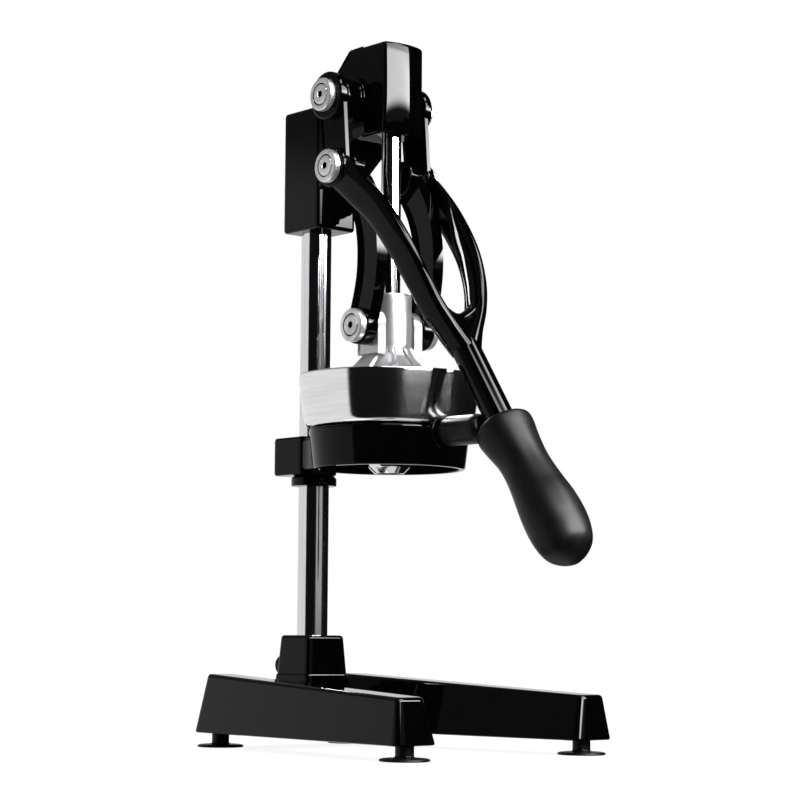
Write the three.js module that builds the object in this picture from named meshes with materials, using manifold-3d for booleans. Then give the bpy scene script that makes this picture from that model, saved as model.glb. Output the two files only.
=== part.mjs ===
// Lever citrus juice press: cast stand, sliding presser, forked lever and juice bowl.
// Millimetres. Forward is -Y and up is +Z. While it is built, the push rod stands on x = 0,
// forward = 0 and the feet stand on zero. At the end the whole press is centred over its footprint.

import * as THREE from 'three';
import { mergeVertices } from 'three/addons/utils/BufferGeometryUtils.js';
import Module from 'manifold-3d';

const wasm = await Module();
wasm.setup();

// Clearances and cutting allowances
const seatGap = 0.3;
const snugGap = 0.12;
const runningGap = 0.2;
const overrun = 1.5;

// Facets round a full circle: wide bowl and ring, other turned parts, small screws
const wideSteps = 36;
const roundSteps = 24;
const smallSteps = 12;
const cornerSteps = 3;
const quarter = Math.PI / 2;

// Linkage seen from the side: A on the head, B between lever and link, D on the presser
const pivotUp = 412.3;
const pivotBack = 19.4;
const crankLength = 47.2;
const crankRestAngle = THREE.MathUtils.degToRad(6.7);
const linkLength = 102.5;

// Across the linkage, measured from the middle plane
const lugInner = 12.1;
const lugOuter = 18.4;
const linkInner = 19;
const linkOuter = 27.8;
const plateInner = 32.4;
const plateOuter = 38.6;

// Column and push rod
const columnRadius = 9.95;
const columnBack = 75.4;
const columnFootUp = 24.7;
const columnInHead = 62;
const rodRadius = 6.3;
const rodTopBelowCap = 2;

// Head casting
const headHalfWidth = 16;
const headEdge = 1.6;
const headBlockBehind = 16.3;
const headBlockAhead = 21.3;
const headBlockAbove = 3.5;
const headBlockBelow = 77.2;
const webBlockDrop = 52.2;
const webMiddleBack = 39;
const webMiddleDrop = 39.7;
const capBehind = 0.6;
const capFront = 12;
const capBulge = 4;
const capAbove = 34.2;
const capHeelBack = 4;
const capHeelDrop = 1.2;
const capBelow = 25;
const blockCorner = 2.6;
const capCorner = 4;
const capEdge = 3;
const ribHalfWidth = 1.1;
const ribProud = 1.1;
const bossRadius = 15;
const bossOuter = 18.7;
const bossStepRadius = 11.6;
const bossStepOuter = 24;

// Pivot screws with their cup washers
const screwRadius = 4;
const screwHeadRadius = 6.6;
const screwHeadDepth = 2.1;
const hexAcross = 4.4;
const hexDepth = 1.4;
const screwInHead = 22;
const cupRadius = 10.6;
const cupRecessRadius = 7.2;
const cupDepth = 4.6;
const cupRecessDepth = 2.2;
const cupChamfer = 0.9;
const spacerRadius = 7;
const leverBushRadius = 6.2;

// Curved links: the points are shares of the way from B down to D and of the bulge
const linkWidth = 19;
const linkEyeRadius = 11.6;
const linkBulge = 16.2;
const linkEdge = 1.2;
const linkDownShares = [0, 0.13, 0.27, 0.41, 0.55, 0.7, 0.84, 1];
const linkBulgeShares = [0, 0.5, 0.84, 1, 0.99, 0.82, 0.5, 0];

// Forked lever: path shares are [across, forward, down] from B to where the stem begins
const plateEyeRadius = 15.4;
const plateCrankRadius = 13;
const plateEdge = 1.2;
const plateWaist = 10.4;
const plateWaistThickness = 3.4;
const armReach = 85.2;
const armDrop = 121.1;
const armWidth = 20;
const armThickness = 8.5;
const armPathShares = [
  [1, 0, 0],
  [0.96, 0.2, 0.115],
  [0.87, 0.428, 0.262],
  [0.8, 0.639, 0.452],
  [0.68, 0.78, 0.63],
  [0.51, 0.865, 0.78],
  [0.28, 0.93, 0.9],
  [0.06, 1, 1],
];
const armWidthShares = [1.06, 1.06, 1.01, 0.97, 0.94, 0.92, 0.9, 0.88];
const armThicknessShares = [0.62, 0.76, 0.95, 1, 1, 1, 1.1, 1.5];
const armRings = 12;
const armSides = 12;
const armSquareness = 0.62;
const webStartShare = 0.74;
const webThickness = 9;
const stemAngle = THREE.MathUtils.degToRad(55.8);
const stemRadius = 9;
const gripAboveBumper = 1.57;
const tangRadius = 6.5;
const tangLength = 82;
const stemEdge = 1;

// Grip: round rings as shares of the bulb radius, of the length and of the lean away from the stem
const gripLength = 102.7;
const gripBulbRadius = 18.5;
const gripLean = 3.7;
const gripRingShares = [
  [0.8, 0, 0],
  [0.93, 0.014, 0],
  [0.975, 0.06, -0.1],
  [0.92, 0.13, 0],
  [0.82, 0.25, 0.4],
  [0.81, 0.35, 0.6],
  [0.87, 0.47, 0.78],
  [0.965, 0.6, 0.95],
  [1, 0.73, 1],
  [0.945, 0.83, 1],
  [0.8, 0.91, 1],
  [0.52, 0.965, 1],
  [0.2, 1, 1],
];

// Presser: barrel with two lugs over a ribbed bell that is hollow below
const barrelRadius = 13.6;
const barrelAbove = 21.7;
const barrelBelow = 14.2;
const barrelEdge = 1.2;
const lugHalfLength = 9.8;
const lugBelow = 18.2;
const lugCentreAbove = 2.3;
const bellShoulderRadius = 19.5;
const bellShoulderDrop = 10;
const bellRimRadius = 41;
const bellRimDrop = 35.5;
const bellWall = 3;
const bellRibs = 10;
const bellRibHalfWidth = 1.2;
const bellRibProud = 1.6;
const rodSocketDepth = 31;

// Juice bowl, hanging this far below pivot D
const bowlRimDrop = 30;
const bowlHeight = 33.6;
const bowlRimRadius = 57.5;
const bowlWall = 1.2;
const bowlOutletRadius = 17;
const bowlOutlineShares = [
  [1, 0],
  [0.988, 0.22],
  [0.955, 0.52],
  [0.905, 0.79],
  [0.86, 0.93],
  [0.78, 1],
];

// Reamer cone and strainer inside the bowl
const coneRadius = 32;
const coneHeight = 24;
const coneTipRadius = 5;
const coneFlutes = 9;
const coneFluteShare = 0.07;
const coneRings = 5;
const coneWall = 2;
const coneSides = 36;
const strainerRadius = 44;
const strainerInner = 34;
const strainerThickness = 1.6;
const strainerSlots = 18;
const strainerSlotWidth = 2.6;
const strainerSlotLength = 6;

// Cup bracket: ring, deck with hub, ribs, collar on the column and boss for the bumper
const ringRadius = 50.8;
const ringTaper = 3.1;
const ringFootRadius = ringRadius - ringTaper;
const ringHeight = 25;
const ringWall = 4;
const ringEdge = 1.6;
const deckThickness = 4;
const hubRadius = 23;
const hubBore = 19;
const hubHeight = 12;
const hubLedge = 2;
const ringRibs = 6;
const ringRibHalfWidth = 1.4;
const ringRibHeight = 13;
const collarHalfWidth = 15.5;
const collarBehind = 25;
const collarAhead = 7;
const collarCorner = 4.5;
const collarEdge = 1.5;
const neckHalfWidth = 12;
const neckHeight = 20;
const neckFlare = 9;
const bumperDrop = 4.5;
const bumperBossRadius = 10.5;
const bumperBossProud = 2.5;

// Spout under the bowl
const spoutRadius = 13;
const spoutTipRadius = 9.3;
const spoutTipBelowRing = 2.6;
const spoutShoulderAbove = 1.4;
const spoutWall = 1.2;
const spoutNeckRadius = 16.5;

// Rubber bumper and its stud
const bumperRadius = 9.2;
const bumperRound = 3;
const bumperStudRadius = 2.5;
const bumperStudInBoss = 6;
const bumperStudInRubber = 22;

// Collar under the bracket
const lockRadius = 14.8;
const lockHeight = 5.4;
const lockConeHeight = 2.2;
const lockConeRadius = 12.6;
const lockEdge = 0.6;

// Set screws
const setScrewRadius = 3;
const setScrewHex = 2.9;
const setScrewHexDepth = 2;
const setScrewSunk = 1;
const headScrewSpacing = 44;

// Stand: two splayed legs, a lower crossbar at the back and the column socket
const footGap = 9;
const legFront = 111;
const legFrontDraft = 4;
const legRear = 113.4;
const legRearDraft = 10.4;
const legFrontUp = 36.2;
const legRise = 10.3;
const legFootOuter = 87.3;
const legFootWidth = 31.2;
const legTopWidth = 21;
const legOuterDraft = 3.3;
const legSplayShare = 0.09;
const legCorner = 4.4;
const legEdge = 2;
const crossTop = 34.7;
const crossFront = 58;
const crossFillet = 24;
const crossEdge = 2;
const plinthHalf = 18.4;
const plinthTopHalf = 17.5;
const plinthUp = 46.7;
const socketHalf = 16.8;
const socketTopHalf = 15.2;
const socketUp = 71.3;
const socketCorner = 4.2;
const socketEdge = 1.8;
const socketBossRadius = 7;
const socketBossProud = 14;
const socketBossUp = 51.7;

// Column bolt from below
const columnBoltRadius = 4;
const columnBoltHeadRadius = 6.5;
const columnBoltHeadDepth = 7;
const columnBoltLength = 32;
const columnBoltWell = 10.8;
const washerRadius = 8.5;
const washerThickness = 1.6;

// Levelling feet
const frontFootForward = 98.6;
const frontFootAcross = 71.3;
const rearFootBack = 101;
const rearFootAcross = 53.5;
const padRadius = 14.8;
const padThickness = 2.3;
const padPostRadius = 5.5;
const padPostUp = 7.4;
const studRadius = 2.4;
const studInBase = 14;
const studInPad = 5;

// Guide bushes in the cap
const bushWall = 2.2;
const bushLength = 15;

// Places that follow from the sizes above
const pivotA = { forward: -pivotBack, up: pivotUp };
const pivotB = {
  forward: pivotA.forward + crankLength * Math.sin(crankRestAngle),
  up: pivotA.up - crankLength * Math.cos(crankRestAngle),
};
const pivotD = { forward: 0, up: pivotB.up - Math.sqrt(linkLength ** 2 - pivotB.forward ** 2) };
const headTop = pivotA.up + headBlockAbove;
const headBottom = pivotA.up - headBlockBelow;
const headRear = -columnBack - headBlockBehind;
const headFront = -columnBack + headBlockAhead;
const capTop = pivotA.up + capAbove;
const capBottom = pivotA.up - capBelow;
const capRear = pivotA.forward - capBehind;
const barrelTop = pivotD.up + barrelAbove;
const barrelBottom = pivotD.up - barrelBelow;
const bowlRim = pivotD.up - bowlRimDrop;
const bowlFloor = bowlRim - bowlHeight;
const ringTop = bowlFloor - seatGap;
const ringBottom = ringTop - ringHeight;
const columnTop = headBottom + columnInHead;
const stemStart = { forward: pivotB.forward + armReach, up: pivotB.up - armDrop };
const stemAlong = { forward: Math.cos(stemAngle), up: -Math.sin(stemAngle) };

const press = new THREE.Group();

// A point from across (+X), forward (-Y) and up (+Z)
function at(across, forward, up) {
  return new THREE.Vector3(across, -forward, up);
}

function add(name, geometry, material, place) {
  const mesh = new THREE.Mesh(geometry, material);
  mesh.name = name;
  if (place) mesh.position.copy(place);
  press.add(mesh);
  return mesh;
}

// Merges equal corners, drops triangles without area and turns the faces outward
function tidied(geometry) {
  const bare = geometry.clone();
  bare.deleteAttribute('normal');
  bare.deleteAttribute('uv');
  const merged = mergeVertices(bare);
  const points = merged.attributes.position;
  const kept = [];
  let volume = 0;
  const [p, q, r] = [new THREE.Vector3(), new THREE.Vector3(), new THREE.Vector3()];
  for (let i = 0; i < merged.index.count; i += 3) {
    const corners = [0, 1, 2].map((step) => merged.index.getX(i + step));
    if (new Set(corners).size === corners.length) {
      kept.push(...corners);
      [p, q, r].forEach((point, k) => point.fromBufferAttribute(points, corners[k]));
      volume += p.dot(q.cross(r));
    }
  }
  if (volume < 0) kept.reverse();
  const closed = new THREE.BufferGeometry();
  closed.setAttribute('position', points);
  closed.setIndex(kept);
  closed.computeVertexNormals();
  return closed;
}

// A closed mesh as a solid for joining and cutting
function solid(geometry) {
  const closed = tidied(geometry);
  return new wasm.Manifold(new wasm.Mesh({
    numProp: 3,
    vertProperties: Float32Array.from(closed.attributes.position.array),
    triVerts: Uint32Array.from(closed.index.array),
  }));
}

function geometryOf(body) {
  const mesh = body.getMesh();
  const geometry = new THREE.BufferGeometry();
  geometry.setAttribute('position', new THREE.BufferAttribute(mesh.vertProperties, mesh.numProp));
  geometry.setIndex(new THREE.BufferAttribute(mesh.triVerts, 1));
  geometry.computeVertexNormals();
  return geometry;
}

function joined(...geometries) {
  return geometryOf(geometries.map(solid).reduce((sum, body) => sum.add(body)));
}

function cut(geometry, ...tools) {
  return geometryOf(tools.map(solid).reduce((rest, tool) => rest.subtract(tool), solid(geometry)));
}

function moved(geometry, place) {
  return geometry.clone().translate(place.x, place.y, place.z);
}

// Rings of equally many points, closed with flat ends
function loft(rings) {
  const count = rings[0].length;
  const triangles = [];
  for (let row = 0; row + 1 < rings.length; row += 1) {
    for (let i = 0; i < count; i += 1) {
      const low = row * count;
      const high = low + count;
      const next = (i + 1) % count;
      triangles.push(low + i, low + next, high + next, low + i, high + next, high + i);
    }
  }
  const last = (rings.length - 1) * count;
  for (let i = 1; i + 1 < count; i += 1) {
    triangles.push(0, i + 1, i, last, last + i, last + i + 1);
  }
  const geometry = new THREE.BufferGeometry();
  const values = rings.flat().flatMap((point) => point.toArray());
  geometry.setAttribute('position', new THREE.Float32BufferAttribute(values, 3));
  geometry.setIndex(triangles);
  return tidied(geometry);
}

// Corners [across, forward] in plan, rounded; the level is a height or a height over forward
function planRing(corners, radius, level) {
  const heightAt = typeof level === 'function' ? level : () => level;
  const points = corners.map(([across, forward]) => new THREE.Vector2(across, forward));
  return points.flatMap((corner, i) => {
    const before = points[(i + points.length - 1) % points.length];
    const after = points[(i + 1) % points.length];
    const start = corner.clone().add(before.clone().sub(corner).setLength(radius));
    const end = corner.clone().add(after.clone().sub(corner).setLength(radius));
    const arc = new THREE.QuadraticBezierCurve(start, corner, end).getPoints(cornerSteps);
    return arc.map((point) => at(point.x, point.y, heightAt(point.y)));
  });
}

// A rectangle in plan: half width, rear and front as forward distances
function rectangle(halfWidth, rear, front) {
  return [[-halfWidth, rear], [-halfWidth, front], [halfWidth, front], [halfWidth, rear]];
}

// A side outline of [forward, up] points, as thick as from inner to outer across
function sidePlate(outline, inner, outer, edge = 0) {
  const shape = new THREE.Shape(outline.map(([forward, up]) => new THREE.Vector2(forward, up)));
  const geometry = new THREE.ExtrudeGeometry(shape, {
    depth: outer - inner - 2 * edge,
    bevelEnabled: edge > 0,
    bevelThickness: edge,
    bevelSize: edge,
    bevelOffset: -edge,
    bevelSegments: 1,
  });
  const across = new THREE.Vector3(-1, 0, 0);
  const basis = new THREE.Matrix4().makeBasis(at(0, 1, 0), at(0, 0, 1), across);
  geometry.applyMatrix4(basis);
  geometry.translate(outer - edge, 0, 0);
  return tidied(geometry);
}

// A turned piece along +Z from its [radius, height] profile
function turned(profile, steps = roundSteps) {
  const points = profile.map(([radius, height]) => new THREE.Vector2(radius, height));
  return tidied(new THREE.LatheGeometry(points, steps).rotateX(quarter));
}

function bar(radius, length, edge = 0, steps = roundSteps) {
  if (edge === 0) return turned([[0, 0], [radius, 0], [radius, length], [0, length]], steps);
  return turned([
    [0, 0], [radius - edge, 0], [radius, edge],
    [radius, length - edge], [radius - edge, length], [0, length],
  ], steps);
}

function tube(inner, outer, length, steps = roundSteps) {
  return turned([
    [inner, 0], [outer, 0], [outer, length], [inner, length], [inner, 0],
  ], steps);
}

function hexBar(across, length) {
  return bar(across / Math.sqrt(3), length, 0, 6);
}

// Turns a piece from +Z to sideways (side is 1 or -1), to forward, or to rearward
const sideways = (geometry, side) => geometry.clone().rotateY(side * quarter);
const forwards = (geometry) => geometry.clone().rotateX(quarter);

// Finishes
const finish = (color, roughness, metalness) =>
  new THREE.MeshStandardMaterial({ color, roughness, metalness });
const blackEnamel = () => finish(0x0c0c0e, 0.16, 0);
const chromeSteel = () => finish(0xb9bcc0, 0.12, 1);
const brushedSteel = () => finish(0xa5a49f, 0.35, 1);
const castAluminium = () => finish(0xb4b6b9, 0.38, 1);
const blackRubber = () => finish(0x17181a, 0.75, 0);
const bronze = () => finish(0xa87b3c, 0.4, 1);

// Stand casting: legs, crossbar, plinth and the drafted socket that holds the column
const legTopFront = legFront - legFrontDraft;
const legTopRear = legRear - legRearDraft;
const legUpAt = (forward) => legFrontUp + legRise * (legTopFront - forward) / (legTopFront + legTopRear);
const legFootAcross = (forward) => legFootOuter + legSplayShare * (forward - legFront);
const legTopAcross = (forward) => legFootAcross(forward) - legOuterDraft;

function legCorners(outerAt, width, rear, front, side) {
  return [
    [side * (outerAt(rear) - width), rear],
    [side * (outerAt(front) - width), front],
    [side * outerAt(front), front],
    [side * outerAt(rear), rear],
  ];
}

function leg(side) {
  const foot = legCorners(legFootAcross, legFootWidth, -legRear, legFront, side);
  const shoulder = legCorners(legTopAcross, legTopWidth, -legTopRear, legTopFront, side);
  const crownAcross = (forward) => legTopAcross(forward) - legEdge;
  const crown = legCorners(
    crownAcross, legTopWidth - 2 * legEdge, legEdge - legTopRear, legTopFront - legEdge, side,
  );
  return loft([
    planRing(foot, legCorner, footGap),
    planRing(shoulder, legCorner - legEdge, (forward) => legUpAt(forward) - legEdge),
    planRing(crown, legCorner - 2 * legEdge, legUpAt),
  ]);
}

function crossbar() {
  const front = -crossFront;
  const inner = legTopAcross(front + crossFillet) - legTopWidth;
  const buried = inner + legTopWidth / 2;
  const height = crossTop - footGap;
  const rise = height / (legUpAt(-legTopRear) - footGap);
  const rearTop = -legRear + legRearDraft * rise;
  const plan = new THREE.Shape();
  plan.moveTo(-buried, -front + crossFillet);
  plan.lineTo(-buried, -front - crossFillet);
  plan.lineTo(-inner, -front - crossFillet);
  plan.absarc(-inner + crossFillet, -front - crossFillet, crossFillet, 2 * quarter, quarter, true);
  plan.lineTo(inner - crossFillet, -front);
  plan.absarc(inner - crossFillet, -front - crossFillet, crossFillet, quarter, 0, true);
  plan.lineTo(buried, -front - crossFillet);
  plan.lineTo(buried, -front + crossFillet);
  const web = new THREE.ExtrudeGeometry(plan, {
    depth: height - 2 * crossEdge,
    bevelThickness: crossEdge,
    bevelSize: crossEdge,
    bevelOffset: -crossEdge,
    bevelSegments: 1,
    curveSegments: 2 * cornerSteps,
  }).translate(0, 0, footGap + crossEdge);
  const back = loft([
    planRing(rectangle(buried, -legRear, front - crossEdge), crossEdge, footGap),
    planRing(rectangle(buried, rearTop - crossEdge, front - crossEdge), crossEdge, crossTop - crossEdge),
    planRing(rectangle(buried, rearTop + crossEdge, front - 2 * crossEdge), crossEdge, crossTop),
  ]);
  return joined(web, back);
}

// A drafted square post round the column, from one level up to another
function columnPost(bottomHalf, topHalf, bottomUp, topUp) {
  const square = (half) => rectangle(half, -columnBack - half, -columnBack + half);
  return loft([
    planRing(square(bottomHalf), socketCorner, bottomUp),
    planRing(square(topHalf), socketCorner, topUp - socketEdge),
    planRing(square(topHalf - socketEdge), socketCorner - socketEdge, topUp),
  ]);
}

const columnFoot = at(0, -columnBack, columnFootUp);
const socketBossRear = -columnBack - socketHalf - socketBossProud;
const socketScrewStart = at(0, socketBossRear, socketBossUp);
const standBody = joined(
  leg(-1),
  leg(1),
  crossbar(),
  columnPost(plinthHalf, plinthTopHalf, crossTop - crossEdge - overrun, plinthUp),
  columnPost(socketHalf, socketTopHalf, plinthUp - overrun, socketUp),
  moved(forwards(bar(socketBossRadius, socketBossProud + socketHalf / 2, setScrewSunk)), socketScrewStart),
);
const footPlaces = [
  ['front_left', -frontFootAcross, frontFootForward],
  ['front_right', frontFootAcross, frontFootForward],
  ['rear_left', -rearFootAcross, -rearFootBack],
  ['rear_right', rearFootAcross, -rearFootBack],
];
const studHole = bar(studRadius + snugGap, studInBase + overrun + seatGap, 0, smallSteps);
const boltHole = bar(columnBoltRadius + runningGap, columnFootUp, 0, smallSteps);
const boltWell = bar(columnBoltHeadRadius + washerRadius / 3, columnBoltWell + overrun);
const columnBore = bar(columnRadius + snugGap, socketUp + overrun);
const crossHole = bar(setScrewRadius + snugGap, socketBossProud + socketHalf + overrun, 0, smallSteps);
add('stand_casting', cut(
  standBody,
  moved(columnBore, columnFoot.clone().setZ(columnFootUp - seatGap)),
  moved(boltHole, at(0, -columnBack, footGap)),
  moved(boltWell, at(0, -columnBack, footGap - overrun)),
  moved(forwards(crossHole), at(0, socketBossRear - overrun, socketBossUp)),
  ...footPlaces.map(([, across, forward]) => moved(studHole, at(across, forward, footGap - overrun))),
), blackEnamel());

// Levelling feet: rubber pads on threaded studs
for (const [place, across, forward] of footPlaces) {
  const padHole = bar(studRadius + snugGap, studInPad + overrun, 0, smallSteps);
  const pad = turned([
    [0, 0], [padRadius, 0], [padRadius, padThickness / 2], [padRadius - padThickness / 2, padThickness],
    [padPostRadius, padThickness], [padPostRadius, padPostUp], [0, padPostUp],
  ]);
  const padCut = cut(pad, moved(padHole, at(0, 0, padPostUp - studInPad)));
  add(`foot_pad_${place}`, padCut, blackRubber(), at(across, forward, 0));
  const studStart = padPostUp - studInPad + seatGap;
  const stud = bar(studRadius, footGap + studInBase - studStart, setScrewSunk / 3, smallSteps);
  add(`foot_stud_${place}`, stud, brushedSteel(), at(across, forward, studStart));
}

// Chromed column, drawn down on its bolt from below
const columnLength = columnTop - columnFootUp;
const columnThread = columnBoltRadius + snugGap;
add('column', turned([
  [0, columnBoltLength], [columnThread, columnBoltLength], [columnThread, 0], [columnRadius - setScrewSunk, 0],
  [columnRadius, setScrewSunk], [columnRadius, columnLength - setScrewSunk],
  [columnRadius - setScrewSunk, columnLength], [0, columnLength],
]), chromeSteel(), columnFoot);

// A cap screw along +Z, its head below zero with a hexagon socket
function capScrew(headRadius, headDepth, radius, length, hex, socketDepth) {
  const body = turned([
    [0, -headDepth], [headRadius - headDepth / 8, -headDepth], [headRadius, -headDepth * 7 / 8],
    [headRadius, 0], [radius, 0], [radius, length], [0, length],
  ], smallSteps);
  return cut(body, moved(hexBar(hex, socketDepth + overrun), at(0, 0, -headDepth - overrun)));
}

const wellTop = footGap + columnBoltWell;
const boltHeadUp = wellTop - 2 * seatGap - washerThickness;
add('column_washer',
  tube(columnBoltRadius + runningGap, washerRadius, washerThickness, smallSteps),
  brushedSteel(), at(0, -columnBack, wellTop - seatGap - washerThickness));
add('column_bolt',
  capScrew(columnBoltHeadRadius, columnBoltHeadDepth, columnBoltRadius, columnBoltLength, hexAcross, hexDepth),
  brushedSteel(), at(0, -columnBack, boltHeadUp));

// Set screws that clamp the column, pointing forward
function setScrew(length) {
  const body = bar(setScrewRadius, length, setScrewSunk / 2, smallSteps);
  const hex = moved(hexBar(setScrewHex, setScrewHexDepth + overrun), at(0, 0, -overrun));
  return forwards(cut(body, hex));
}
function addSetScrew(name, face, up) {
  const length = -columnBack - columnRadius - seatGap - face - setScrewSunk;
  add(name, setScrew(length), brushedSteel(), at(0, face + setScrewSunk, up));
}
addSetScrew('socket_set_screw', socketBossRear, socketBossUp);

// Head casting: column block, sloping web and the cap that guides the rod
function capRing(inset, bulgeShare, level) {
  const half = headHalfWidth - inset;
  const front = capFront - inset;
  const start = new THREE.Vector2(half, front);
  const middle = new THREE.Vector2(0, front + 2 * capBulge * bulgeShare);
  const curve = new THREE.QuadraticBezierCurve(start, middle, new THREE.Vector2(-half, front));
  const face = curve.getPoints(2 * cornerSteps).map((point) => at(point.x, point.y, level));
  return [at(-half, capRear + inset, level), at(half, capRear + inset, level), ...face];
}

function headBody() {
  const block = rectangle(headHalfWidth, headRear, headFront);
  const blockEnd = rectangle(headHalfWidth - headEdge, headRear + headEdge, headFront - headEdge);
  const webUp = pivotA.up - webBlockDrop;
  const ribStart = headBottom + capEdge;
  const boss = turned([
    [0, 0], [bossRadius, 0], [bossRadius, bossOuter - headEdge], [bossRadius - snugGap, bossOuter],
    [bossStepRadius, bossOuter], [bossStepRadius, bossStepOuter - ringEdge / 2],
    [bossStepRadius - ringEdge / 2, bossStepOuter], [0, bossStepOuter],
  ]);
  return joined(
    loft([
      planRing(blockEnd, blockCorner - headEdge, headBottom),
      planRing(block, blockCorner, headBottom + headEdge),
      planRing(block, blockCorner, headTop - headEdge),
      planRing(blockEnd, blockCorner - headEdge, headTop),
    ]),
    sidePlate([
      [headFront - headEdge - capCorner, headTop],
      [headFront, headTop],
      [capRear - capHeelBack, capTop - capHeelDrop],
      [capRear + capEdge + headEdge, capTop - headEdge],
      [capRear + capEdge + headEdge, capBottom + capEdge],
      [capRear + headEdge, capBottom],
      [-webMiddleBack, pivotA.up - webMiddleDrop],
      [headFront, webUp],
      [headFront - headEdge - capCorner, webUp],
    ], -headHalfWidth, headHalfWidth, headEdge),
    loft([
      capRing(capEdge, 0.5, capBottom),
      capRing(capEdge / 3, 0.75, capBottom + capEdge / 3),
      capRing(0, 0.9, capBottom + capEdge),
      capRing(0, 1, (capBottom + capTop) / 2),
      capRing(0, 0.85, capTop - capEdge),
      capRing(capEdge / 3, 0.7, capTop - capEdge / 3),
      capRing(capEdge, 0.4, capTop),
    ]),
    sidePlate([
      [headFront - capCorner, ribStart],
      [headFront + ribProud, ribStart + ribProud],
      [headFront + ribProud, webUp + capCorner],
      [headFront - capCorner, webUp + capCorner],
    ], -ribHalfWidth, ribHalfWidth),
    moved(sideways(boss, 1), at(0, pivotA.forward, pivotA.up)),
    moved(sideways(boss, -1), at(0, pivotA.forward, pivotA.up)),
  );
}

const bushOuter = rodRadius + runningGap + bushWall;
const headScrewUps = [-1, 1].map((end) => headBottom + (columnInHead + end * headScrewSpacing) / 2);
const headScrewHole = bar(setScrewRadius + snugGap, headBlockBehind + overrun, 0, smallSteps);
const pivotThread = moved(
  bar(screwRadius + snugGap, screwInHead + overrun + seatGap, 0, smallSteps),
  at(0, 0, bossStepOuter - screwInHead - seatGap),
);
add('head_casting', cut(
  headBody(),
  moved(bar(columnRadius + snugGap, columnInHead + overrun + seatGap), at(0, -columnBack, headBottom - overrun)),
  moved(bar(bushOuter + snugGap, capTop - capBottom + 2 * overrun), at(0, 0, capBottom - overrun)),
  ...[-1, 1].map((side) => moved(sideways(pivotThread, side), at(0, pivotA.forward, pivotA.up))),
  ...headScrewUps.map((up) => moved(forwards(headScrewHole), at(0, headRear - overrun, up))),
), blackEnamel());
addSetScrew('head_set_screw_lower', headRear, headScrewUps[0]);
addSetScrew('head_set_screw_upper', headRear, headScrewUps[1]);

// Bronze bushes at both ends of the cap's bore
const bush = () => tube(rodRadius + runningGap, bushOuter, bushLength);
add('guide_bush_lower', bush(), bronze(), at(0, 0, capBottom + capEdge / 2));
add('guide_bush_upper', bush(), bronze(), at(0, 0, capTop - capEdge / 2 - bushLength));

// Cup bracket
const bumperUp = ringTop - bumperDrop;
const bossRear = ringRadius + ringEdge;
const bumperRear = bossRear + bumperBossProud + seatGap;
const hubThroat = spoutNeckRadius + seatGap;

function bracketBody() {
  const ring = turned([
    [ringFootRadius - ringWall, 0], [ringFootRadius - ringEdge / 2, 0], [ringFootRadius, ringEdge / 2],
    [ringRadius, ringHeight - ringEdge], [ringRadius - ringEdge, ringHeight], [hubBore, ringHeight],
    [hubBore, ringHeight - hubLedge], [hubThroat, ringHeight - hubLedge],
    [hubThroat, ringHeight - hubHeight], [hubRadius, ringHeight - hubHeight],
    [hubRadius, ringHeight - deckThickness], [ringRadius - ringWall, ringHeight - deckThickness],
    [ringFootRadius - ringWall, 0],
  ], wideSteps);
  const ribLength = ringFootRadius - ringWall - hubRadius + 2 * overrun;
  const ribs = Array.from({ length: ringRibs }, (_, i) => {
    const rib = new THREE.BoxGeometry(ribLength, 2 * ringRibHalfWidth, ringRibHeight);
    const middle = hubRadius - overrun + ribLength / 2;
    rib.translate(middle, 0, ringHeight - deckThickness - ringRibHeight / 2 + overrun);
    return moved(rib.rotateZ((i + 0.5) * 2 * Math.PI / ringRibs), at(0, 0, ringBottom));
  });
  const collarRear = -columnBack - collarBehind;
  const collarFront = -columnBack + collarAhead;
  const collar = rectangle(collarHalfWidth, collarRear, collarFront);
  const collarEnd = rectangle(collarHalfWidth - collarEdge, collarRear + collarEdge, collarFront - collarEdge);
  const collarBottom = ringBottom + collarEdge / 2;
  const neckRear = collarFront - collarCorner;
  const neckFront = -(ringRadius - ringWall);
  const neckCorners = [
    [-neckHalfWidth, neckRear], [-neckHalfWidth - neckFlare, neckFront],
    [neckHalfWidth + neckFlare, neckFront], [neckHalfWidth, neckRear],
  ];
  const neckBottom = ringBottom + (ringHeight - neckHeight) / 2;
  return joined(
    moved(ring, at(0, 0, ringBottom)),
    ...ribs,
    loft([
      planRing(collarEnd, collarCorner - collarEdge, collarBottom),
      planRing(collar, collarCorner, collarBottom + collarEdge),
      planRing(collar, collarCorner, ringTop - collarEdge / 2),
      planRing(collarEnd, collarCorner - collarEdge, ringTop + collarEdge / 2),
    ]),
    loft([
      planRing(neckCorners, ringEdge, neckBottom),
      planRing(neckCorners, ringEdge, neckBottom + neckHeight),
    ]),
    sidePlate([
      [ringRadius - ringWall, bumperUp - bumperRadius],
      [bossRear + bumperBossProud, bumperUp - bumperRadius],
      [bossRear + bumperBossProud, bumperUp],
      [bossRear, ringTop - ringEdge],
      [ringRadius - ringWall, ringTop - ringEdge],
    ], -bumperRadius / 2, bumperRadius / 2),
    moved(forwards(bar(bumperBossRadius, bumperBossProud, ringEdge / 4)), at(0, bossRear, bumperUp)),
  );
}

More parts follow.
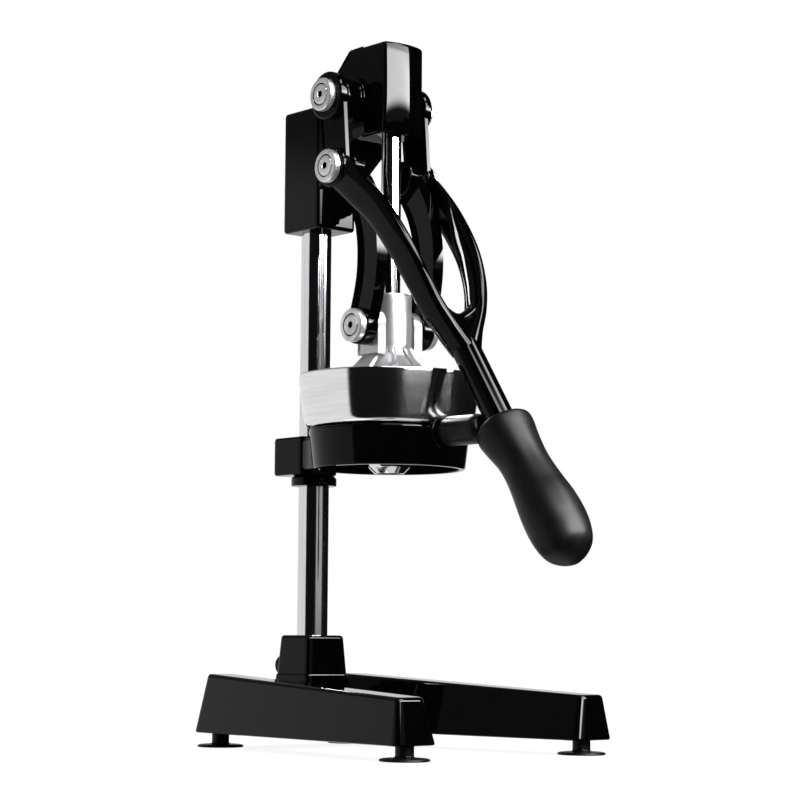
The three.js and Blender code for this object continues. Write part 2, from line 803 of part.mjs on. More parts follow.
const columnCut = bar(columnRadius + snugGap, ringHeight * 2);
const collarScrewHole = bar(setScrewRadius + snugGap, collarBehind + overrun, 0, smallSteps);
const bumperStudHole = bar(bumperStudRadius + snugGap, bumperStudInBoss + seatGap + overrun, 0, smallSteps);
const collarRear = -columnBack - collarBehind;
const collarMiddleUp = ringTop - ringHeight / 2;
add('cup_bracket', cut(
  bracketBody(),
  moved(columnCut, at(0, -columnBack, ringBottom - ringHeight / 2)),
  moved(forwards(collarScrewHole), at(0, collarRear - overrun, collarMiddleUp)),
  moved(forwards(bumperStudHole), at(0, bumperRear - seatGap - bumperStudInBoss, bumperUp)),
), blackEnamel());
addSetScrew('bracket_set_screw', collarRear, collarMiddleUp);

// Collar that carries the bracket on the column
const lockTop = ringBottom + collarEdge / 2 - seatGap;
const lockBottom = lockTop - lockConeHeight - lockHeight;
const lockInner = columnRadius + snugGap;
const lockHole = bar(setScrewRadius + snugGap, lockRadius, 0, smallSteps);
const lockScrewUp = lockBottom + lockHeight / 2;
add('lock_collar', cut(
  turned([
    [lockInner, 0], [lockRadius - lockEdge, 0], [lockRadius, lockEdge], [lockRadius, lockHeight],
    [lockConeRadius, lockHeight + lockConeHeight], [lockInner, lockHeight + lockConeHeight], [lockInner, 0],
  ]),
  moved(forwards(lockHole), at(0, -lockRadius - overrun, lockHeight / 2)),
), blackEnamel(), at(0, -columnBack, lockBottom));
addSetScrew('lock_set_screw', -columnBack - lockRadius, lockScrewUp);

// Spout, hanging by its flange in the hub
const spoutTop = ringTop - hubLedge + seatGap + spoutWall;
const spoutShoulder = ringBottom + spoutShoulderAbove;
const spoutTip = ringBottom - spoutTipBelowRing;
const spoutNeckEnd = ringTop - hubHeight;
add('spout', turned([
  [spoutNeckRadius - spoutWall, spoutTop], [hubBore - seatGap, spoutTop],
  [hubBore - seatGap, spoutTop - spoutWall], [spoutNeckRadius, spoutTop - spoutWall],
  [spoutNeckRadius, spoutNeckEnd], [spoutRadius, spoutShoulder], [spoutTipRadius, spoutTip],
  [spoutTipRadius - spoutWall, spoutTip], [spoutRadius - spoutWall, spoutShoulder + spoutWall / 2],
  [spoutNeckRadius - spoutWall, spoutNeckEnd + spoutWall / 2], [spoutNeckRadius - spoutWall, spoutTop],
]), chromeSteel());

// Juice bowl
const bowlOuter = bowlOutlineShares.map(([radius, drop]) => [bowlRimRadius * radius, bowlRim - bowlHeight * drop]);
const bowlInner = bowlOuter.map(([radius, up]) => [radius - bowlWall, Math.max(up, bowlFloor + bowlWall)]);
add('juice_bowl', turned([
  ...bowlOuter,
  [bowlOutletRadius, bowlFloor],
  [bowlOutletRadius, bowlFloor + bowlWall],
  ...bowlInner.reverse(),
  bowlOuter[0],
], wideSteps), brushedSteel());

// Strainer plate on the bowl's floor and the fluted cone that stands on it
const strainerUp = bowlFloor + bowlWall + seatGap;
const slot = new THREE.BoxGeometry(strainerSlotLength, strainerSlotWidth, strainerThickness + 2 * overrun);
const slotMiddle = (strainerRadius + coneRadius) / 2;
const slots = Array.from({ length: strainerSlots }, (_, i) =>
  slot.clone().translate(slotMiddle, 0, strainerThickness / 2).rotateZ(i * 2 * Math.PI / strainerSlots));
add('strainer_plate',
  cut(tube(strainerInner, strainerRadius, strainerThickness), ...slots), brushedSteel(), at(0, 0, strainerUp));

function coneRing(step) {
  const lean = quarter * step / (coneRings + 0.5);
  const radius = coneTipRadius + (coneRadius - coneTipRadius) * Math.cos(lean);
  return Array.from({ length: coneSides }, (_, i) => {
    const turn = i * 2 * Math.PI / coneSides;
    const flute = 1 - coneFluteShare * (1 - Math.cos(coneFlutes * turn)) * Math.cos(lean);
    return at(radius * flute * Math.cos(turn), radius * flute * Math.sin(turn), coneHeight * Math.sin(lean));
  });
}
const coneBody = loft(Array.from({ length: coneRings + 1 }, (_, step) => coneRing(step)));
const coneHollow = turned([
  [0, -overrun], [coneRadius * (1 - 2 * coneFluteShare) - coneWall, -overrun],
  [coneRadius * (1 - 2 * coneFluteShare) - coneWall, coneWall], [coneTipRadius, coneHeight - 2 * coneWall],
  [0, coneHeight - 2 * coneWall],
]);
add('reamer_cone', cut(coneBody, coneHollow), brushedSteel(), at(0, 0, strainerUp));

// Outline round two circles of different radius, from [forward, up] centres
function slotOutline(first, firstRadius, second, secondRadius) {
  const start = new THREE.Vector2(first.forward, first.up);
  const toward = new THREE.Vector2(second.forward, second.up).sub(start);
  const heading = toward.angle();
  const lean = Math.acos((firstRadius - secondRadius) / toward.length());
  const arc = (centre, radius, from, to) => Array.from({ length: smallSteps / 2 + 1 }, (_, i) => {
    const turn = from + (to - from) * i / (smallSteps / 2);
    return [centre.forward + radius * Math.cos(turn), centre.up + radius * Math.sin(turn)];
  });
  return [
    ...arc(first, firstRadius, heading + lean, heading + 4 * quarter - lean),
    ...arc(second, secondRadius, heading - lean, heading + lean),
  ];
}

// Forked lever: two plates and two arms that meet at a web and run on as a round stem
const plateMiddle = (plateInner + plateOuter) / 2;
const alongStem = (geometry) => geometry.clone().rotateX(quarter + stemAngle);

function armCurve(side) {
  return new THREE.CatmullRomCurve3(armPathShares.map(([across, forward, down]) => at(
    side * plateMiddle * across, pivotB.forward + armReach * forward, pivotB.up - armDrop * down,
  )));
}

function shareAt(shares, t) {
  const place = t * (shares.length - 1);
  const index = Math.min(Math.floor(place), shares.length - 2);
  return THREE.MathUtils.lerp(shares[index], shares[index + 1], place - index);
}

// The arm's own directions where it has come a share of its way
function armFrame(curve, t) {
  const along = curve.getTangent(t);
  const across = new THREE.Vector3(1, 0, 0);
  across.addScaledVector(along, -across.dot(along)).normalize();
  return { middle: curve.getPoint(t), across, upward: along.clone().cross(across) };
}

function arm(side) {
  const curve = armCurve(side);
  const rounded = (value) => Math.sign(value) * Math.abs(value) ** armSquareness;
  return loft(Array.from({ length: armRings + 1 }, (_, step) => {
    const t = step / armRings;
    const { middle, across, upward } = armFrame(curve, t);
    const halfWidth = armWidth * shareAt(armWidthShares, t) / 2;
    const halfThickness = armThickness * shareAt(armThicknessShares, t) / 2;
    return Array.from({ length: armSides }, (__, i) => {
      const turn = (i + 0.5) * 2 * Math.PI / armSides;
      return middle.clone()
        .addScaledVector(across, halfThickness * rounded(Math.cos(turn)))
        .addScaledVector(upward, halfWidth * rounded(Math.sin(turn)));
    });
  }));
}

function forkWeb() {
  const curve = armCurve(1);
  const steps = 2 * cornerSteps;
  return loft(Array.from({ length: steps + 1 }, (_, step) => {
    const { middle, upward } = armFrame(curve, THREE.MathUtils.lerp(webStartShare, 1, step / steps));
    const half = middle.x;
    const flatUp = upward.setX(0).normalize();
    return [[-1, -1], [1, -1], [1, 1], [-1, 1]].map(([across, thick]) => (
      middle.clone().setX(across * half).addScaledVector(flatUp, thick * webThickness / 2)
    ));
  }));
}

const stemLength = (bumperUp - stemStart.up) / stemAlong.up - gripAboveBumper;
const stem = turned([
  [0, -stemRadius], [stemRadius - stemEdge, -stemRadius], [stemRadius, stemEdge - stemRadius],
  [stemRadius, stemLength - stemEdge], [stemRadius - stemEdge, stemLength], [tangRadius, stemLength],
  [tangRadius, stemLength + tangLength - stemEdge], [tangRadius - stemEdge, stemLength + tangLength],
  [0, stemLength + tangLength],
]);
const plateOutline = slotOutline(pivotA, plateWaist, pivotB, plateWaist);
const waistInner = plateMiddle - plateWaistThickness / 2;
const waistOuter = plateMiddle + plateWaistThickness / 2;
const leverEye = (radius) => bar(radius, plateOuter - plateInner, plateEdge);
const bushHole = moved(
  bar(leverBushRadius + snugGap, plateOuter - plateInner + 2 * overrun), at(0, 0, plateInner - overrun),
);
add('lever_casting', cut(
  joined(
    sidePlate(plateOutline, waistInner, waistOuter),
    sidePlate(plateOutline, -waistOuter, -waistInner),
    ...[-1, 1].flatMap((side) => [[pivotA, plateEyeRadius], [pivotB, plateCrankRadius]].map(
      ([pivot, radius]) => (
        moved(sideways(leverEye(radius), side), at(side * plateInner, pivot.forward, pivot.up))
      ),
    )),
    arm(1),
    arm(-1),
    forkWeb(),
    moved(alongStem(stem), at(0, stemStart.forward, stemStart.up)),
  ),
  ...[-1, 1].flatMap((side) => [pivotA, pivotB].map((pivot) => (
    moved(sideways(bushHole, side), at(0, pivot.forward, pivot.up))
  ))),
), blackEnamel());

// Grip, pushed over the tang
function gripRing([radius, length, lean]) {
  return Array.from({ length: roundSteps }, (_, i) => {
    const turn = i * 2 * Math.PI / roundSteps;
    return new THREE.Vector3(
      gripBulbRadius * radius * Math.cos(turn),
      gripBulbRadius * radius * Math.sin(turn) + gripLean * lean,
      gripLength * length,
    );
  });
}
const gripHole = bar(tangRadius + snugGap, tangLength + seatGap + overrun);
const grip = cut(loft(gripRingShares.map(gripRing)), moved(gripHole, at(0, 0, -overrun)));
const gripStart = stemLength + seatGap;
add('grip', alongStem(grip), blackRubber(), at(
  0, stemStart.forward + stemAlong.forward * gripStart, stemStart.up + stemAlong.up * gripStart,
));

// Rubber bumper: its rounded end stops the stem when the lever is down
const bumperTouchUp = bumperUp + bumperRadius - bumperRound;
const bumperReach = stemRadius + seatGap + bumperRound;
const bumperDown = (bumperTouchUp - stemStart.up) * stemAlong.forward;
const bumperEnd = stemStart.forward + (bumperReach + bumperDown) / stemAlong.up + bumperRound;
const bumperLength = bumperEnd - bumperRear;
const bumperBore = bumperStudRadius + snugGap;
const bumperArc = Array.from({ length: cornerSteps + 1 }, (_, i) => {
  const turn = quarter * i / cornerSteps;
  return [bumperRadius - bumperRound * (1 - Math.cos(turn)), bumperLength - bumperRound * (1 - Math.sin(turn))];
});
add('bumper', forwards(turned([
  [0, bumperStudInRubber + seatGap], [bumperBore, bumperStudInRubber + seatGap], [bumperBore, 0],
  [bumperRadius, 0], ...bumperArc, [0, bumperLength],
])), blackRubber(), at(0, bumperRear, bumperUp));
const bumperStud = bar(bumperStudRadius, bumperStudInBoss + bumperStudInRubber, 0, smallSteps);
add('bumper_stud', forwards(bumperStud), brushedSteel(), at(0, bumperRear - bumperStudInBoss, bumperUp));

// Curved links from B to D
function linkOutline() {
  const start = new THREE.Vector2(pivotB.forward, pivotB.up);
  const way = new THREE.Vector2(pivotD.forward, pivotD.up).sub(start);
  const ahead = new THREE.Vector2(-way.y, way.x).normalize();
  const curve = new THREE.SplineCurve(linkDownShares.map((down, i) => (
    start.clone().addScaledVector(way, down).addScaledVector(ahead, linkBulge * linkBulgeShares[i])
  )));
  const steps = 4 * cornerSteps;
  const edge = (side, step) => {
    const along = curve.getTangent(step / steps);
    const point = curve.getPoint(step / steps);
    return [point.x + side * along.y * linkWidth / 2, point.y - side * along.x * linkWidth / 2];
  };
  const count = Array.from({ length: steps + 1 }, (_, step) => step);
  return [...count.map((step) => edge(1, step)), ...count.reverse().map((step) => edge(-1, step))];
}

const linkBand = sidePlate(linkOutline(), linkInner, linkOuter, linkEdge);
const linkEye = bar(linkEyeRadius, linkOuter - linkInner, linkEdge);
const linkHole = bar(screwRadius + snugGap, linkOuter - linkInner + 2 * overrun, 0, smallSteps);
const spacer = (inner, outer) => tube(screwRadius + snugGap, spacerRadius, outer - inner, smallSteps);
const cup = turned([
  [screwRadius + snugGap, 0], [cupRadius, 0], [cupRadius, cupDepth - cupChamfer],
  [cupRadius - cupChamfer, cupDepth], [cupRecessRadius, cupDepth], [cupRecessRadius, cupDepth - cupRecessDepth],
  [screwRadius + snugGap, cupDepth - cupRecessDepth], [screwRadius + snugGap, 0],
]);

for (const [name, side] of [['left', -1], ['right', 1]]) {
  const acrossAt = (pivot, across) => at(side * across, pivot.forward, pivot.up);
  const cupSeat = cupDepth - cupRecessDepth + seatGap;

  // Cup washer on a face, and its screw from the cup's floor inward to an end
  const addPivotScrew = (pivot, label, face, end) => {
    const cupStart = face + seatGap;
    const headStart = cupStart + cupSeat;
    add(`${label}_cup_${name}`, sideways(cup, side), chromeSteel(), acrossAt(pivot, cupStart));
    const screw = capScrew(
      screwHeadRadius, screwHeadDepth, screwRadius, headStart - end, hexAcross, hexDepth,
    );
    add(`${label}_screw_${name}`, sideways(screw, -side), chromeSteel(), acrossAt(pivot, headStart));
  };
  addPivotScrew(pivotA, 'head_pivot', plateOuter, bossStepOuter - screwInHead);
  addPivotScrew(pivotB, 'lever_link', plateOuter, linkInner);
  addPivotScrew(pivotD, 'presser_link', linkOuter, linkInner);

  const headSpacerStart = bossStepOuter + seatGap;
  add(`head_pivot_spacer_${name}`, sideways(spacer(headSpacerStart, plateInner - seatGap), side),
    brushedSteel(), acrossAt(pivotA, headSpacerStart));
  const linkSpacerStart = linkOuter + seatGap;
  add(`lever_link_spacer_${name}`, sideways(spacer(linkSpacerStart, plateInner - seatGap), side),
    brushedSteel(), acrossAt(pivotB, linkSpacerStart));
  for (const [label, pivot] of [['head_pivot', pivotA], ['lever_link', pivotB]]) {
    const leverBush = tube(screwRadius + runningGap, leverBushRadius, plateOuter - plateInner, smallSteps);
    add(`${label}_bush_${name}`, sideways(leverBush, side), bronze(), acrossAt(pivot, plateInner));
  }

  const band = side > 0 ? linkBand : sidePlate(linkOutline(), -linkOuter, -linkInner, linkEdge);
  const eyes = [pivotB, pivotD].map((pivot) => moved(sideways(linkEye, side), acrossAt(pivot, linkInner)));
  const holes = [pivotB, pivotD].map((pivot) => (
    moved(sideways(linkHole, side), acrossAt(pivot, linkInner - overrun))
  ));
  add(`link_${name}`, cut(joined(band, ...eyes), ...holes), blackEnamel());
}

// Presser: barrel, lugs and ribbed bell, hollow from below
const cavityDrop = barrelBelow / 3;
const rodScrewRadius = 2.5;
const rodScrewHeadRadius = 4.5;
const rodScrewHeadDepth = 4;
const rodScrewLength = 26;
const rodFoot = barrelTop - rodSocketDepth;
const barrelHeight = barrelTop - barrelBottom;

function presserBody() {
  const shell = turned([
    [0, -cavityDrop], [barrelRadius - bellWall, -cavityDrop], [bellShoulderRadius - bellWall, -bellShoulderDrop],
    [bellRimRadius - bellWall, -bellRimDrop], [bellRimRadius, -bellRimDrop],
    [(bellShoulderRadius + bellRimRadius) / 2 + bellWall, -(bellShoulderDrop + bellRimDrop) / 2],
    [bellShoulderRadius + bellWall / 2, -bellShoulderDrop + bellWall / 2], [barrelRadius, 0],
    [barrelRadius, barrelHeight - barrelEdge], [barrelRadius - barrelEdge, barrelHeight], [0, barrelHeight],
  ]);
  const rib = sidePlate([
    [barrelRadius - bellRibProud, bellRibProud],
    [barrelRadius + bellRibProud / 2, bellRibProud],
    [bellShoulderRadius + bellWall + bellRibProud / 2, -bellShoulderDrop + bellWall],
    [(bellShoulderRadius + bellRimRadius) / 2 + bellWall + bellRibProud, -(bellShoulderDrop + bellRimDrop) / 2],
    [bellRimRadius, -bellRimDrop + bellRibProud],
    [bellRimRadius - bellWall, -bellRimDrop + bellWall],
    [bellShoulderRadius, -bellShoulderDrop],
    [barrelRadius - bellRibProud, -bellWall / 2],
  ], -bellRibHalfWidth, bellRibHalfWidth);
  const ribs = Array.from({ length: bellRibs }, (_, i) => rib.clone().rotateZ(i * 2 * Math.PI / bellRibs));
  const lugTop = barrelBelow + lugCentreAbove;
  const lugOutline = slotOutline(
    { forward: 0, up: lugTop }, lugHalfLength, { forward: 0, up: lugTop - snugGap }, lugHalfLength,
  ).map(([forward, up]) => [forward, up < lugTop - lugHalfLength / 2 ? barrelBelow - lugBelow : up]);
  const lugs = [[-lugOuter, -lugInner], [lugInner, lugOuter]].map(([from, to]) => (
    sidePlate(lugOutline, from, to, 0)
  ));
  return moved(joined(shell, ...ribs, ...lugs), at(0, 0, barrelBottom));
}

const lugThread = moved(
  bar(screwRadius + snugGap, lugOuter, 0, smallSteps), at(0, 0, rodRadius + bellWall),
);
add('presser_casting', cut(
  presserBody(),
  moved(bar(rodRadius + snugGap, rodSocketDepth + overrun), at(0, 0, rodFoot)),
  moved(bar(rodScrewRadius + runningGap, rodSocketDepth, 0, smallSteps), at(0, 0, rodFoot - rodSocketDepth / 2)),
  ...[-1, 1].map((side) => moved(sideways(lugThread, side), at(0, pivotD.forward, pivotD.up))),
), castAluminium());

const rodStart = rodFoot + seatGap;
const rodLength = capTop - rodTopBelowCap - rodStart;
const rodThread = rodScrewRadius + snugGap;
add('push_rod', turned([
  [0, rodScrewLength], [rodThread, rodScrewLength], [rodThread, 0], [rodRadius - stemEdge, 0],
  [rodRadius, stemEdge], [rodRadius, rodLength - stemEdge], [rodRadius - stemEdge, rodLength], [0, rodLength],
]), chromeSteel(), at(0, 0, rodStart));
add('rod_screw',
  capScrew(rodScrewHeadRadius, rodScrewHeadDepth, rodScrewRadius, rodScrewLength, hexAcross, hexDepth),
  brushedSteel(), at(0, 0, barrelBottom - cavityDrop - seatGap));

// Centred over its own box, standing on zero
const reach = new THREE.Box3().setFromObject(press);
press.position.y = -(reach.min.y + reach.max.y) / 2;

export default press;
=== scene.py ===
import math

import bmesh
import bpy
from mathutils import Matrix, Vector


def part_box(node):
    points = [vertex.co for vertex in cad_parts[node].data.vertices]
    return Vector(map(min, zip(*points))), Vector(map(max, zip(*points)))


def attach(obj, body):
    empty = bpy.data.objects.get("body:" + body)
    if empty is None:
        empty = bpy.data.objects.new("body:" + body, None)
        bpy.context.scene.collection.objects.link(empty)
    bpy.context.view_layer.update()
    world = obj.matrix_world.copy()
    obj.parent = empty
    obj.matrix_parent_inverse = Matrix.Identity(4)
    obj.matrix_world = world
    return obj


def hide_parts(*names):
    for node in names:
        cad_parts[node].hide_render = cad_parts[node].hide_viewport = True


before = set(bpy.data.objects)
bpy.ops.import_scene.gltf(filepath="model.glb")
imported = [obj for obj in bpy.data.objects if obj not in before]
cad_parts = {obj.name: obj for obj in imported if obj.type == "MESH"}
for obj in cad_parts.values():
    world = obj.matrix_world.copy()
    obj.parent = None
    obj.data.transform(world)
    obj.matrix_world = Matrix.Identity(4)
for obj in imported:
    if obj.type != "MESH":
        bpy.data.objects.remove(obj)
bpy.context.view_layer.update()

# The view: a long lens low in front and to the left of the press, tilted slightly up.
# Places are given in millimetres from the push rod's axis: across, forward and up.
rod_low, rod_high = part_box("push_rod")
rod_y = (rod_low.y + rod_high.y) / 2


def at(across, forward, up):
    """The frame's metres for a place in millimetres."""
    return Vector((across / 1000, rod_y - forward / 1000, up / 1000))


def radians(*degrees):
    """Several angles at once in radians."""
    return [math.radians(angle) for angle in degrees]


azimuth, pitch, roll = radians(-40.85, -6.07, 0.41)
toward = Vector((math.sin(azimuth) * math.cos(pitch), -math.cos(azimuth) * math.cos(pitch), math.sin(pitch)))
level = (-toward).cross(Vector((0, 0, 1))).normalized()
upright = toward.cross(level)
lens_right = level * math.cos(roll) + upright * math.sin(roll)
lens_up = upright * math.cos(roll) - level * math.sin(roll)
eye_distance, eye_side, eye_up = 1423.57, 6.55, 67.76
eye = at(
    eye_distance * math.sin(azimuth) + eye_side * math.cos(azimuth),
    eye_distance * math.cos(azimuth) - eye_side * math.sin(azimuth),
    eye_up,
)
camera_data = bpy.data.cameras.new("camera")
camera_data.lens = 102.15
camera_data.sensor_width = 36
camera_data.clip_start = 0.01
camera = bpy.data.objects.new("camera", camera_data)
camera.matrix_world = Matrix((
    (lens_right.x, lens_up.x, toward.x, eye.x),
    (lens_right.y, lens_up.y, toward.y, eye.y),
    (lens_right.z, lens_up.z, toward.z, eye.z),
    (0, 0, 0, 1),
))
bpy.context.scene.collection.objects.link(camera)
bpy.context.scene.camera = camera
bpy.context.scene.view_settings.view_transform = "Standard"

# The studio: a white sheet under the press, and a room that gloss and chrome show: a white wall behind
# and to the left, two softboxes in front and a table below. The rest of the room is dark.
floor_mesh = bpy.data.meshes.new("floor")
floor_half, floor_drop = 4.0, 0.0002
floor_mesh.from_pydata(
    [(x * floor_half, y * floor_half, 0) for x, y in ((-1, -1), (1, -1), (1, 1), (-1, 1))],
    [], [(0, 1, 2, 3)],
)
floor = bpy.data.objects.new("floor", floor_mesh)
floor.location.z = -floor_drop
bpy.context.scene.collection.objects.link(floor)


def put(tree, kind, operation=None, **values):
    """Adds a node, sets its operation and gives its inputs values or links."""
    node = tree.nodes.new(kind)
    if operation:
        node.operation = operation
    for key, value in values.items():
        socket = node.inputs[int(key[1:])] if key[1:].isdigit() else node.inputs[key.replace("_", " ")]
        if isinstance(value, bpy.types.NodeSocket):
            tree.links.new(value, socket)
        else:
            socket.default_value = value
    return node


def ramp(tree, value, start, end, low=0.0, high=1.0):
    """An eased step of a value from low to high between start and end."""
    node = tree.nodes.new("ShaderNodeMapRange")
    node.interpolation_type = "SMOOTHSTEP"
    tree.links.new(value, node.inputs["Value"])
    for label, number in (("From Min", start), ("From Max", end), ("To Min", low), ("To Max", high)):
        node.inputs[label].default_value = number
    return node.outputs[0]


def window(tree, value, rise, fall):
    """The two ramps that let only the middle of a value through."""
    return ramp(tree, value, *rise), ramp(tree, value, *fall, 1, 0)


def times(tree, *values):
    """The product of values or links."""
    product = values[0]
    for value in values[1:]:
        product = put(tree, "ShaderNodeMath", "MULTIPLY", _0=product, _1=value).outputs[0]
    return product


def plus(tree, *values):
    """The sum of values or links."""
    total = values[0]
    for value in values[1:]:
        total = put(tree, "ShaderNodeMath", "ADD", _0=total, _1=value).outputs[0]
    return total


paper = bpy.data.materials.new("white_paper")
paper.use_nodes = True
sheet = paper.node_tree
sheet.nodes.clear()
path = put(sheet, "ShaderNodeLightPath")
matte = put(sheet, "ShaderNodeBsdfDiffuse", Color=(0.93, 0.93, 0.93, 1))
glow = put(sheet, "ShaderNodeEmission", Strength=1.12)
glow_share = 0.8
seen_white = put(
    sheet, "ShaderNodeMixShader",
    _0=times(sheet, path.outputs["Is Camera Ray"], glow_share), _1=matte.outputs[0], _2=glow.outputs[0],
)
unseen = put(sheet, "ShaderNodeBsdfTransparent")
under_gloss = put(
    sheet, "ShaderNodeMixShader",
    _0=path.outputs["Is Glossy Ray"], _1=seen_white.outputs[0], _2=unseen.outputs[0],
)
put(sheet, "ShaderNodeOutputMaterial", Surface=under_gloss.outputs[0])
floor_mesh.materials.append(paper)

world = bpy.data.worlds.new("studio")
bpy.context.scene.world = world
world.use_nodes = True
room = world.node_tree
room.nodes.clear()
way = put(room, "ShaderNodeTexCoord")
parts = put(room, "ShaderNodeSeparateXYZ", _0=way.outputs["Generated"])
front = times(room, parts.outputs["Y"], -1.0)
turn = put(room, "ShaderNodeMath", "ARCTAN2", _0=parts.outputs["X"], _1=front).outputs[0]
high = parts.outputs["Z"]
front_glow, top_glow, table_glow, wall_glow = 0.42, 24.0, 0.8, 0.86
dark_glow, matt_glow, eye_glow = 0.005, 0.7, 1.0
front_box = times(
    room,
    *window(room, turn, radians(-22, -12), radians(26, 36)), *window(room, high, (-0.04, 0.03), (0.6, 0.75)),
)
top_box = times(
    room,
    *window(room, turn, radians(-56, -48), radians(56, 64)), *window(room, high, (0.72, 0.78), (0.86, 0.9)),
)
softboxes = plus(room, times(room, front_box, front_glow), times(room, top_box, top_glow))
table = ramp(room, high, -0.92, -0.76, table_glow, 0)
wall_turn = math.radians(-167.5)
wall_way = put(
    room, "ShaderNodeVectorMath", "DOT_PRODUCT",
    _0=way.outputs["Generated"], _1=(math.sin(wall_turn), -math.cos(wall_turn), 0),
).outputs["Value"]
# How level a direction is, kept a little above zero straight up and down.
over_one = 1.0001
flat_square = put(room, "ShaderNodeMath", "SUBTRACT", _0=over_one, _1=times(room, high, high)).outputs[0]
flat_way = put(room, "ShaderNodeMath", "SQRT", _0=flat_square).outputs[0]
wall_share = put(room, "ShaderNodeMath", "DIVIDE", _0=wall_way, _1=flat_way).outputs[0]
wall = times(room, ramp(room, wall_share, 0.26, 0.34), ramp(room, high, 0.19, 0.225, 1, 0.25), wall_glow)
mirrored = plus(room, softboxes, wall, table, dark_glow)
rays = put(room, "ShaderNodeLightPath")
for_gloss = put(room, "ShaderNodeMix", _0=rays.outputs["Is Glossy Ray"], _2=matt_glow, _3=mirrored)
clear = put(
    room, "ShaderNodeMath", "MAXIMUM",
    _0=rays.outputs["Is Camera Ray"], _1=rays.outputs["Is Transmission Ray"],
)
for_eye = put(room, "ShaderNodeMix", _0=clear.outputs[0], _2=for_gloss.outputs[0], _3=eye_glow)
sky = put(room, "ShaderNodeBackground", Color=(1, 1, 1, 1), Strength=for_eye.outputs[0])
put(room, "ShaderNodeOutputWorld", Surface=sky.outputs[0])


def lamp(name, turn, height, distance, size, watts):
    """A soft lamp aimed at the middle of the press, which gloss and chrome don't show."""
    data = bpy.data.lights.new(name, "AREA")
    data.size = size
    data.energy = watts
    light = bpy.data.objects.new(name, data)
    middle = Vector((0, 0, 0.22))
    turn = math.radians(turn)
    light.location = middle + Vector((math.sin(turn) * distance, -math.cos(turn) * distance, height))
    light.rotation_euler = (middle - light.location).to_track_quat("-Z", "Y").to_euler()
    light.visible_glossy = False
    light.visible_camera = False
    bpy.context.scene.collection.objects.link(light)


lamp("softbox_fill", turn=20, height=1.1, distance=1.8, size=1.4, watts=26)
lamp("side_fill", turn=-110, height=0.9, distance=1.8, size=1.3, watts=10)
lamp("top_fill", turn=160, height=2.0, distance=0.8, size=1.2, watts=12)

# The main softbox as a lit sheet in front of the press, because near pieces see it at other angles.
# Only gloss and chrome show it. It fades in at its lower edge and is dimmer toward the top.
box_mesh = bpy.data.meshes.new("softbox")
box_turn, box_away, box_half, box_low, box_high = math.radians(12), 1.7, 1.14, 0.5, 1.9
box_middle = Vector((math.sin(box_turn) * box_away, -math.cos(box_turn) * box_away, 0))
box_side = Vector((math.cos(box_turn), math.sin(box_turn), 0)) * box_half
box_mesh.from_pydata(
    [box_middle + box_side * side + Vector((0, 0, up))
     for side, up in ((-1, box_low), (1, box_low), (1, box_high), (-1, box_high))],
    [], [(0, 1, 2, 3)],
)
softbox_front = bpy.data.objects.new("softbox_front", box_mesh)
bpy.context.scene.collection.objects.link(softbox_front)
softbox_front.visible_camera = softbox_front.visible_diffuse = False
softbox_front.visible_transmission = softbox_front.visible_shadow = False
box_light = bpy.data.materials.new("softbox_light")
box_light.use_nodes = True
box_tree = box_light.node_tree
box_tree.nodes.clear()
box_place = put(box_tree, "ShaderNodeNewGeometry")
box_up = put(box_tree, "ShaderNodeSeparateXYZ", _0=box_place.outputs["Position"]).outputs["Z"]
edge_glow, full_glow, top_share = 0.5, 58.0, 0.42
low_fade, high_fade = (0.6, 0.82), (0.98, 1.2)
box_glow = put(box_tree, "ShaderNodeEmission", Strength=times(
    box_tree,
    ramp(box_tree, box_up, *low_fade, edge_glow, full_glow), ramp(box_tree, box_up, *high_fade, 1, top_share),
))
put(box_tree, "ShaderNodeOutputMaterial", Surface=box_glow.outputs[0])
box_mesh.materials.append(box_light)

# Stand casting: two splayed legs, a crossbar with filleted corners and the drafted column socket.
# One piece of cast metal in gloss black enamel, standing on four levelling feet.
stand = bmesh.new()
leg_front, leg_front_top, leg_rear, leg_rear_top = 111, 107, -113.4, -103
leg_low, leg_front_high, leg_rise, lean_height = 9, 36.2, 10.3, 30
leg_out, leg_splay, foot_wide, ridge_in, ridge_wide, ridge_corner = 87.3, 0.09, 31.2, 3.3, 21, 4.6


def skin(mesh, rings, ends=True, closed=False):
    """Joins rings of points with quads; a ring of one point is a pole."""
    made = [[mesh.verts.new(point) for point in ring] for ring in rings]
    pairs = list(zip(made, made[1:]))
    if closed:
        pairs.append((made[-1], made[0]))
    for low, high in pairs:
        count = max(len(low), len(high))
        for i in range(count):
            after = i + 1
            corners = [low[i % len(low)], low[after % len(low)], high[after % len(high)], high[i % len(high)]]
            corners = [vert for k, vert in enumerate(corners) if vert not in corners[:k]]
            if len(corners) > 2:
                mesh.faces.new(corners)
    if ends and not closed:
        for ring in (made[0], made[-1]):
            if len(ring) > 2:
                mesh.faces.new(ring)


def turns(steps):
    """Angles evenly round a full circle."""
    return [2 * math.pi * i / steps for i in range(steps)]


def spin(mesh, profile, start, along, steps=72, closed=False):
    """Turns a [radius, distance] profile in millimetres round a line."""
    along = Vector(along).normalized()
    side = along.cross(Vector((0, 0, 1)) if abs(along.z) < 0.9 else Vector((1, 0, 0))).normalized()
    other = along.cross(side)
    rings = []
    for radius, distance in profile:
        middle = start + along * distance / 1000
        if radius == 0:
            rings.append([middle])
            continue
        rings.append([
            middle + (side * math.cos(turn) + other * math.sin(turn)) * radius / 1000 for turn in turns(steps)
        ])
    skin(mesh, rings, ends=False, closed=closed)


